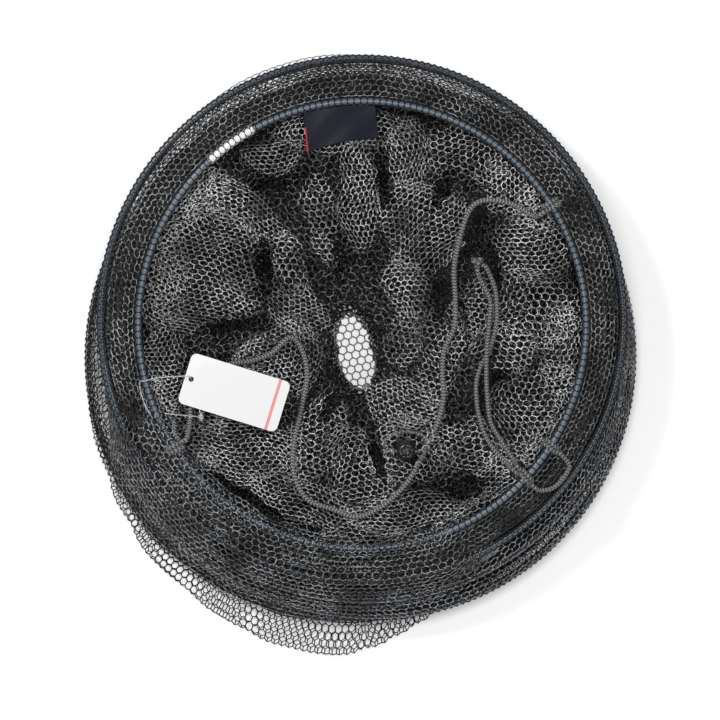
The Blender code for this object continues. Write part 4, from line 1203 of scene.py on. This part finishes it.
def deep_netting(drop, turn, number, drawn, parted=1.0):
    """A layer of bunched netting under the lobes, over the whole heap."""
    columns = math.ceil(2 * HEAP_REACH / (MESH * drawn))
    rows = math.ceil(2 * HEAP_REACH / (MESH_ROW * drawn))

    def place(column, row):
        across = (column - columns / 2) * MESH * drawn
        along = np.full_like(across, (row - rows / 2) * MESH_ROW * drawn)
        x, y = turned_out(MOUTH_CENTRE, across, along, math.radians(turn))
        x = x + 2.2 * MM * np.sin(y * 130 + number) + 1.1 * MM * np.sin(y * 420 + 2 * number)
        y = y + 2.2 * MM * np.sin(x * 120 + 2 * number) + 1.1 * MM * np.sin(x * 390 + number)
        share = heap_share(x, y)
        z = heap_height(x, y) - drop * np.clip(share * 4, 0, 1)
        z = z + 1.8 * MM * np.sin(x * 310 + number) * np.sin(y * 290 + 3 * number)
        z = fitted(x, y, z + 1.0 * MM, False) - 1.0 * MM
        spots = np.stack([x, y, np.maximum(z, 0.6 * MM)], axis=1)
        rim = np.hypot(x - MOUTH_CENTRE[0], y - MOUTH_CENTRE[1])
        gone = (share < 0.01 * number - 0.03) | (rim > HEAP_REACH)
        if drop < SHADED_DROP:
            gone = gone | in_window(x, y) | (in_crease(x, y) > parted)
        spots[gone] = np.nan
        return spots

    return netting(columns, rows, place, closed=False)


SKIRT_COLUMNS = 180
SKIRT_ROWS = 14


def skirt_place(column, row):
    """The heap's outside: down the folded walls from the rim, then out to the bottom hoop."""
    angles = column / SKIRT_COLUMNS * TURN
    wall = HEAP_REACH - 1.5 * MM + 1.0 * MM * waver(angles, 91, 8, 30)
    lines = [
        on_circle(MOUTH_CENTRE, wall - 3 * MM, angles, HEAP_CREST_HEIGHT + 0.5 * MM),
        on_circle(MOUTH_CENTRE, wall, angles, HEAP_CREST_HEIGHT - 3 * MM),
        on_circle(MOUTH_CENTRE, wall, angles, 1.0 * MM),
        on_circle(HOOPS[0][2], BIG_RADIUS - 3.6 * MM, angles, 0.8 * MM),
    ]
    return along_lines(lines, row / SKIRT_ROWS)


# The lobes on top are painted lit. The netting over the ball, the layers under the lobes and the skirt take
# darker copies, painted shade.
lobes = put_together([lobe_netting(number) for number in range(len(LOBES))])
heap_top = strands("heap_top_netting", lobes, STRAND, lit_nylon)
skirt = netting(SKIRT_COLUMNS, SKIRT_ROWS, skirt_place)
ball_cover = lobe_netting(BALL_LOBE, over_ball=True)
deep_layers = [
    strands("ball_cover_netting", ball_cover, STRAND, deep_nylon),
    strands("heap_base_netting", deep_netting(0.4 * MM, 8, 4, 1.0, 0.8), STRAND, dim_nylon),
    strands("heap_shaded_netting", deep_netting(2.2 * MM, 52, 5, 0.84), STRAND, shaded_nylon),
    strands("heap_skirt_netting", skirt, DEEP_STRAND, deep_nylon),
]
# Each deepest layer's drop under the lobes, its turn in degrees, number and how closely it is drawn
DEEPEST = (
    ("heap_middle_netting", ((3.5 * MM, 18, 0, 0.76), (6 * MM, -37, 1, 0.76))),
    ("heap_under_netting", ((8.5 * MM, 64, 2, 0.78), (11 * MM, -8, 3, 0.78))),
    ("heap_lowest_netting", ((14 * MM, 35, 0, 0.72),)),
)
for name, layers in DEEPEST:
    net = put_together([deep_netting(*layer) for layer in layers])
    deep_layers.append(strands(name, net, DEEP_STRAND, deep_nylon))
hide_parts("heap_net")
for piece in [heap_top] + deep_layers:
    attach(piece, "bottom")


# The bottom panel
# A flat oval of the same netting with a narrow hem, which closes the end of the net. It lies on the
# ground, and only the strands that start or end inside the hem are there.
PANEL_INSET = 0.7 * MM
PANEL_HALF = (WINDOW_HALF[0] - PANEL_INSET, WINDOW_HALF[1] - PANEL_INSET)
PANEL_COLUMNS = 12
PANEL_ROWS = 8
PANEL_STRAND = 0.72 * MM
PANEL_HEIGHT = 0.5 * MM
HEM_RADIUS = 0.65 * MM
HEM_HEIGHT = 0.7 * MM
HEM_STEPS = 96


def panel_spots(across, along, height):
    """Points at distances across and along from the panel's middle, at one height."""
    x, y = turned_out(WINDOW_CENTRE, across, along, WINDOW_TILT)
    return np.stack([x, y, np.full_like(x, height)], axis=1)


# A copy of the black nylon with faint painted glints, for the panel.
panel_nylon = nylon_finish("panel_nylon", (0.02, 0.022, 0.026), (0.09, 0.1, 0.115), 500, 0.5)
panel_net = []
for row in range(-PANEL_ROWS, PANEL_ROWS + 1):
    for column in range(-PANEL_COLUMNS, PANEL_COLUMNS + 1):
        across = column * MESH / 2
        rise = 1 / 6 if (row + column) % 2 == 0 else -1 / 6
        start = (across, (row + rise) * MESH_ROW)
        ends = [(across + MESH / 2, (row - rise) * MESH_ROW)]
        if rise > 0:
            ends.append((across, (row + 1 - rise) * MESH_ROW))
        for end in ends:
            if min(math.hypot(x / PANEL_HALF[0], y / PANEL_HALF[1]) for x, y in (start, end)) < 1:
                panel_net += [start, end]
panel_net = panel_spots(*np.array(panel_net).T, PANEL_HEIGHT)
panel_net = (panel_net, np.arange(len(panel_net)).reshape(-1, 2))
panel = strands("bottom_panel_lattice", panel_net, PANEL_STRAND, panel_nylon, sides=4)
turn = TURN * np.arange(HEM_STEPS) / HEM_STEPS
hem_path = panel_spots(PANEL_HALF[0] * np.cos(turn), PANEL_HALF[1] * np.sin(turn), HEM_HEIGHT)
hem = round_piece("bottom_panel_hem", hem_path, HEM_RADIUS, 8, panel_nylon, cyclic=True)
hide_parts("bottom_panel_net")
for piece in (panel, hem):
    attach(piece, "bottom")


# The sewn label
# A folded strip of navy satin, sewn in at the mouth hoop and hanging inwards. It is left bare, with
# one plain red thread along its end.
LABEL_ANGLE = math.radians(96.1)
LABEL_LENGTH = 48 * MM
LABEL_DEPTH = 26 * MM
LABEL_NARROWING = 5 * MM
LABEL_COLUMNS = 72
LABEL_ROWS = 36


def mapped(tree):
    """The piece's own map of its face, and the map's two axes, from 0 to 1."""
    face = add_node(tree, "ShaderNodeUVMap", uv_map="UVMap").outputs["UV"]
    axes = add_node(tree, "ShaderNodeSeparateXYZ", {"Vector": face})
    return face, axes.outputs["X"], axes.outputs["Y"]


def satin_finish():
    """Navy satin with a diagonal weave, and the thread along its end."""
    made, tree, shader = new_finish("navy_satin")
    face, along, across = mapped(tree)
    at_end = reckoned(tree, "LESS_THAN", along, 0.022)
    thread = reckoned(tree, "MULTIPLY", at_end, reckoned(tree, "GREATER_THAN", across, 0.36))
    weave = {"Vector": face, "Scale": 60, "Distortion": 0.5}
    weave = add_node(tree, "ShaderNodeTexWave", weave, bands_direction="DIAGONAL")
    fill_in(tree, shader, {
        "Base Color": mixed(tree, thread, (0.006, 0.008, 0.016, 1), (0.5, 0.03, 0.04, 1)),
        "Normal": relief(tree, weave.outputs["Fac"], 0.15, 0.05 * MM),
        "Roughness": 0.34,
        "Specular IOR Level": 0.14,
    })
    return made


label_grid = np.mgrid[0 : LABEL_COLUMNS + 1, 0 : LABEL_ROWS + 1].reshape(2, -1)
share, across = label_grid / ((LABEL_COLUMNS,), (LABEL_ROWS,))
along = share - 0.5
drop = across * (5.0 + 0.5 * np.sin(along * TURN * 1.2)) * MM
drop = drop + 0.5 * MM * np.sin(across * math.pi) * np.sin(along * 9 + across * 3)
angles = LABEL_ANGLE - along * LABEL_LENGTH / MOUTH_RADIUS
label_spots = on_circle(MOUTH_CENTRE, MOUTH_RADIUS, angles, HOOPS[4][2][2] - drop)
inward = HOOP_RADIUS + 0.6 * MM + across * (LABEL_DEPTH - LABEL_NARROWING * share)
label_spots[:, 0] -= math.cos(LABEL_ANGLE) * inward
label_spots[:, 1] -= math.sin(LABEL_ANGLE) * inward
label_faces = []
for i in range(LABEL_COLUMNS):
    for j in range(LABEL_ROWS):
        corner = i * (LABEL_ROWS + 1) + j
        label_faces.append((corner, corner + 1, corner + LABEL_ROWS + 2, corner + LABEL_ROWS + 1))
label = new_piece("satin_label", label_spots, label_faces, satin_finish())
label_map = label.data.uv_layers.new(name="UVMap")
for loop in label.data.loops:
    label_map.data[loop.index].uv = (share[loop.vertex_index], across[loop.vertex_index])
shape = bmesh.new()
shape.from_mesh(label.data)
bmesh.ops.recalc_face_normals(shape, faces=shape.faces)
shape.to_mesh(label.data)
shape.free()
satin = label.modifiers.new("satin", "SOLIDIFY")
satin.thickness = 0.45 * MM
satin.offset = 0.0
stand_for(label, "sewn_label", "mouth", "label")


# The swing tag
# A coated white card with round corners and a punched hole, hung on a clear moulded loop. One plain
# stripe crosses it near its far end.
TAG_LENGTH = 68 * MM
TAG_WIDTH = 34.5 * MM
TAG_CORNER = 4 * MM
TAG_CORNER_STEPS = 8
TAG_HOLE = 1.7 * MM
TAG_HOLE_AT = 4.4 * MM - TAG_LENGTH / 2
TAG_HOLE_STEPS = 24
TAG_THICKNESS = 0.5 * MM
TAG_BEVEL = 0.06 * MM
TAG_CENTRE = (-84.4 * MM, -23.7 * MM, 49.8 * MM)
TAG_TURN = math.radians(-17.15)
TAG_SLOPE = math.radians(4.5)
LOOP_STEP = 0.8 * MM
LOOP_RADIUS = 0.45 * MM
LOOP_HEAD_LENGTH = 6 * MM
LOOP_HEAD_RADIUS = 1.6 * MM
LOOP_HEAD_STEPS = 16
LOOP_KNOTS = (
    (-106.1, -39.8, 50.2), (-116.6, -38.8, 51.4), (-128.6, -37.6, 51.4), (-136.1, -36.9, 51.4),
    (-139.3, -38.3, 55.0), (-144.3, -28.2, 55.0), (-146.5, -17.1, 56.0), (-143.1, -16.2, 58.6),
    (-134.4, -14.0, 57.4), (-115.3, -12.9, 55.2), (-113.0, -14.7, 52.7), (-112.3, -15.5, 51.3),
    (-110.5, -19.2, 50.6), (-108.6, -28.8, 50.2), (-106.1, -39.8, 50.2),
)


def tag_place(along, across, lift):
    """A point given in the tag's own plane, from its middle, lifted off its face."""
    level = along * math.cos(TAG_SLOPE) + lift * math.sin(TAG_SLOPE)
    height = lift * math.cos(TAG_SLOPE) - along * math.sin(TAG_SLOPE)
    x, y = turned_out(TAG_CENTRE, level, across, TAG_TURN)
    return Vector((x, y, TAG_CENTRE[2] + height))


def card_finish():
    """White coated card with fine grain, and the stripe."""
    made, tree, shader = new_finish("white_card")
    _, along, _ = mapped(tree)
    past_start = reckoned(tree, "GREATER_THAN", along, 0.88)
    stripe = reckoned(tree, "MULTIPLY", past_start, reckoned(tree, "LESS_THAN", along, 0.91))
    fill_in(tree, shader, {
        "Base Color": mixed(tree, stripe, (0.86, 0.86, 0.86, 1), (0.8, 0.27, 0.26, 1)),
        "Normal": relief(tree, grain(tree, 1500, 4), 0.06, 0.03 * MM),
        "Roughness": 0.38,
        "Coat Weight": 0.15,
    })
    return made


def clear_finish():
    """Clear moulded nylon, a little cloudy."""
    made, tree, shader = new_finish("clear_nylon")
    fill_in(tree, shader, {
        "Base Color": (0.86, 0.89, 0.92, 1),
        "Roughness": spread(tree, grain(tree, 400), 0.12, 0.3),
        "Transmission Weight": 0.75,
        "IOR": 1.5,
    })
    return made


tag_outline = []
for quarter, (x_side, y_side) in enumerate(((1, 1), (-1, 1), (-1, -1), (1, -1))):
    for step in range(TAG_CORNER_STEPS + 1):
        turn = TURN / 4 * (quarter + step / TAG_CORNER_STEPS)
        tag_outline.append((
            x_side * (TAG_LENGTH / 2 - TAG_CORNER) + TAG_CORNER * math.cos(turn),
            y_side * (TAG_WIDTH / 2 - TAG_CORNER) + TAG_CORNER * math.sin(turn),
        ))
tag_hole = []
for step in range(TAG_HOLE_STEPS):
    turn = TURN * step / TAG_HOLE_STEPS
    tag_hole.append((TAG_HOLE_AT + TAG_HOLE * math.cos(turn), TAG_HOLE * math.sin(turn)))
flat = bpy.data.curves.new("tag_flat", "CURVE")
flat.dimensions = "2D"
flat.fill_mode = "BOTH"
flat.extrude = TAG_THICKNESS / 2 - TAG_BEVEL
flat.bevel_depth = TAG_BEVEL
flat.offset = -TAG_BEVEL
for outline in (tag_outline, tag_hole):
    line = flat.splines.new("POLY")
    line.points.add(len(outline) - 1)
    for corner, (x, y) in zip(line.points, outline):
        corner.co = (x, y, 0, 1)
    line.use_cyclic_u = True
flat_object = put_in_scene("tag_flat", flat)
tag_mesh = baked(flat_object)
bpy.data.objects.remove(flat_object, do_unlink=True)
shape = bmesh.new()
shape.from_mesh(tag_mesh)
bmesh.ops.remove_doubles(shape, verts=shape.verts, dist=1e-6)
bmesh.ops.recalc_face_normals(shape, faces=shape.faces)
tag_uv = shape.loops.layers.uv.verify()
for face in shape.faces:
    for loop in face.loops:
        loop[tag_uv].uv = (loop.vert.co.x / TAG_LENGTH + 0.5, loop.vert.co.y / TAG_WIDTH + 0.5)
for vert in shape.verts:
    vert.co = tag_place(*vert.co)
shape.to_mesh(tag_mesh)
shape.free()
tag_mesh.materials.clear()
tag_mesh.materials.append(card_finish())
tag = put_in_scene("card_tag", tag_mesh)
stand_for(tag, "swing_tag", "mouth", "card")

clear_nylon = clear_finish()
tag_loop = round_piece("clear_tag_loop", smooth_path(LOOP_KNOTS, LOOP_STEP), LOOP_RADIUS, 10, clear_nylon)
share = np.linspace(-1, 1, LOOP_HEAD_STEPS + 1)
head_path = np.array(LOOP_KNOTS[0]) * MM + np.outer(share / 2, (0, LOOP_HEAD_LENGTH, 0))
head_radii = LOOP_HEAD_RADIUS * np.sqrt(np.maximum(1 - share**2, 0.03))
head = round_piece("clear_tag_loop_head", head_path, head_radii, 14, clear_nylon)
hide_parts("tag_loop")
for piece in (tag_loop, head):
    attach(piece, "mouth")


# The ball cord lock
# A glossy black ball with a push button on a spring. A short loop of cord passes through both. The
# spring stands between the floor of the ball's well and the button's foot.
LOCK_RADIUS = 6.5 * MM
WELL_RADIUS = 3.7 * MM
WELL_TURN = math.asin(WELL_RADIUS / LOCK_RADIUS)
WELL_EDGE = LOCK_RADIUS * math.cos(WELL_TURN)
WELL_WALL = WELL_RADIUS - 0.15 * MM
WELL_FLOOR = -5.3 * MM
BALL_STEPS = 24
EYE_RADIUS = 1.6 * MM
BUTTON_RADIUS = 3.3 * MM
BUTTON_FOOT = -1.9 * MM
BUTTON_TOP = 7.7 * MM
BUTTON_FALL = 1.9 * MM
BUTTON_STEPS = 8
SPRING_WIRE = 0.5 * MM
SPRING_RADIUS = 2.15 * MM
SPRING_COILS = 2
SPRING_FOOT = 36.7 * MM
SPRING_HEAD = 38.85 * MM
SPRING_RINGS = 65


def turned(name, profile, sides, finish, place):
    """A turned piece: a profile of radii and heights spun round an upright axis at a place."""
    vertices = []
    rings = []
    for radius, height in profile:
        if radius == 0.0:
            rings.append([len(vertices)] * sides)
            vertices.append((place[0], place[1], place[2] + height))
            continue
        rings.append(list(range(len(vertices), len(vertices) + sides)))
        for j in range(sides):
            turn = TURN * j / sides
            x = place[0] + radius * math.cos(turn)
            y = place[1] + radius * math.sin(turn)
            vertices.append((x, y, place[2] + height))
    faces = []
    for below, above in zip(rings, rings[1:]):
        for j in range(sides):
            k = (j + 1) % sides
            faces.append(tuple(dict.fromkeys([below[j], below[k], above[k], above[j]])))
    return new_piece(name, vertices, faces, finish)


lock_plastic = plastic_finish("lock_plastic", (0.012, 0.013, 0.015), (0.024, 0.025, 0.028), 0.3, 0.7)
ball_profile = [(0.0, -LOCK_RADIUS)]
for i in range(1, BALL_STEPS + 1):
    turn = math.pi - (math.pi - WELL_TURN) * i / BALL_STEPS
    ball_profile.append((LOCK_RADIUS * math.sin(turn), LOCK_RADIUS * math.cos(turn)))
ball_profile += [(WELL_WALL, WELL_EDGE - 0.25 * MM), (WELL_WALL, WELL_FLOOR), (0.0, WELL_FLOOR)]
ball = turned("lock_ball", ball_profile, 48, lock_plastic, lock_place)
eye_path = lock_place + np.array([(x, 0, 0.5) for x in (-9, -3, 3, 9)]) * MM
eye = round_piece("lock_eye_cut", eye_path, EYE_RADIUS, 24, lock_plastic)
cut = ball.modifiers.new("eye", "BOOLEAN")
cut.object = eye
cut.solver = "EXACT"
drilled = baked(ball)
ball.modifiers.remove(cut)
ball.data = drilled
bpy.data.objects.remove(eye, do_unlink=True)
stand_for(ball, "cord_lock_body", "bottom", "lock_plastic")

button_profile = [(0.0, BUTTON_FOOT), (BUTTON_RADIUS, BUTTON_FOOT)]
for i in range(BUTTON_STEPS + 1):
    out = (1 - i / BUTTON_STEPS) ** 0.6
    button_profile.append((BUTTON_RADIUS * out, BUTTON_TOP - BUTTON_FALL * out**2))
button = turned("lock_button_cap", button_profile, 32, lock_plastic, lock_place)
stand_for(button, "cord_lock_button", "lock_button", "lock_plastic")

climb = np.linspace(0, 1, SPRING_RINGS)
heights = SPRING_FOOT + (SPRING_HEAD - SPRING_FOOT) * climb
coil = on_circle(lock_place, SPRING_RADIUS, TURN * SPRING_COILS * climb, heights)
spring = round_piece("lock_spring_coil", coil, SPRING_WIRE / 2, 8, steel)
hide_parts("cord_lock_spring")
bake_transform(spring)


# The floor and the light
# A pale floor under soft studio light. The world and the floor look white to the camera, and the
# floor keeps the object's shadow.
FLOOR_HALF = 6
SHADOW_START = 0.162
SHADOW_END = 0.185
FLOOR_GLOW = 0.34
WORLD_LIGHT = 0.22
# Each lamp's name, place, size and power
LAMPS = (
    ("overhead", (0.0, 0.2, 1.6), 0.6, 8.8),
    ("lower_right", (0.9, -0.9, 1.1), 0.4, 4.4),
    ("upper_left", (-0.8, 0.8, 1.2), 0.35, 10.6),
)

pale, tree, shader = new_finish("pale_floor")
spot = add_node(tree, "ShaderNodeTexCoord").outputs["Object"]
away = add_node(tree, "ShaderNodeVectorMath", {0: spot}, operation="LENGTH").outputs["Value"]
glow = spread(tree, away, 0.0, FLOOR_GLOW, SHADOW_START, SHADOW_END)
rays = add_node(tree, "ShaderNodeLightPath").outputs
fill_in(tree, shader, {
    "Base Color": (0.93, 0.93, 0.94, 1),
    "Roughness": 0.9,
    "Specular IOR Level": 0.0,
    "Emission Color": (1, 1, 1, 1),
    "Emission Strength": reckoned(tree, "MULTIPLY", rays["Is Camera Ray"], glow),
})
corners = [(x * FLOOR_HALF, y * FLOOR_HALF, 0) for x, y in ((-1, -1), (1, -1), (1, 1), (-1, 1))]
floor_mesh = bpy.data.meshes.new("floor")
floor_mesh.from_pydata(corners, [], [(0, 1, 2, 3)])
floor_mesh.materials.append(pale)
floor = put_in_scene("floor", floor_mesh)

world = bpy.data.worlds.new("studio")
bpy.context.scene.world = world
world.use_nodes = True
tree = world.node_tree
rays = add_node(tree, "ShaderNodeLightPath").outputs
seen = reckoned(tree, "MAXIMUM", rays["Is Camera Ray"], rays["Is Glossy Ray"])
seen = reckoned(tree, "MAXIMUM", seen, rays["Is Transmission Ray"])
fill_in(tree, tree.nodes["Background"], {
    "Color": (1, 1, 1, 1),
    "Strength": spread(tree, seen, WORLD_LIGHT, 1.0),
})

for name, place, size, power in LAMPS:
    light = bpy.data.lights.new(name, "AREA")
    light.shape = "DISK"
    light.size = size
    light.energy = power
    lamp = put_in_scene(name, light)
    lamp.location = place
    lamp.rotation_euler = Vector(place).to_track_quat("Z", "Y").to_euler()
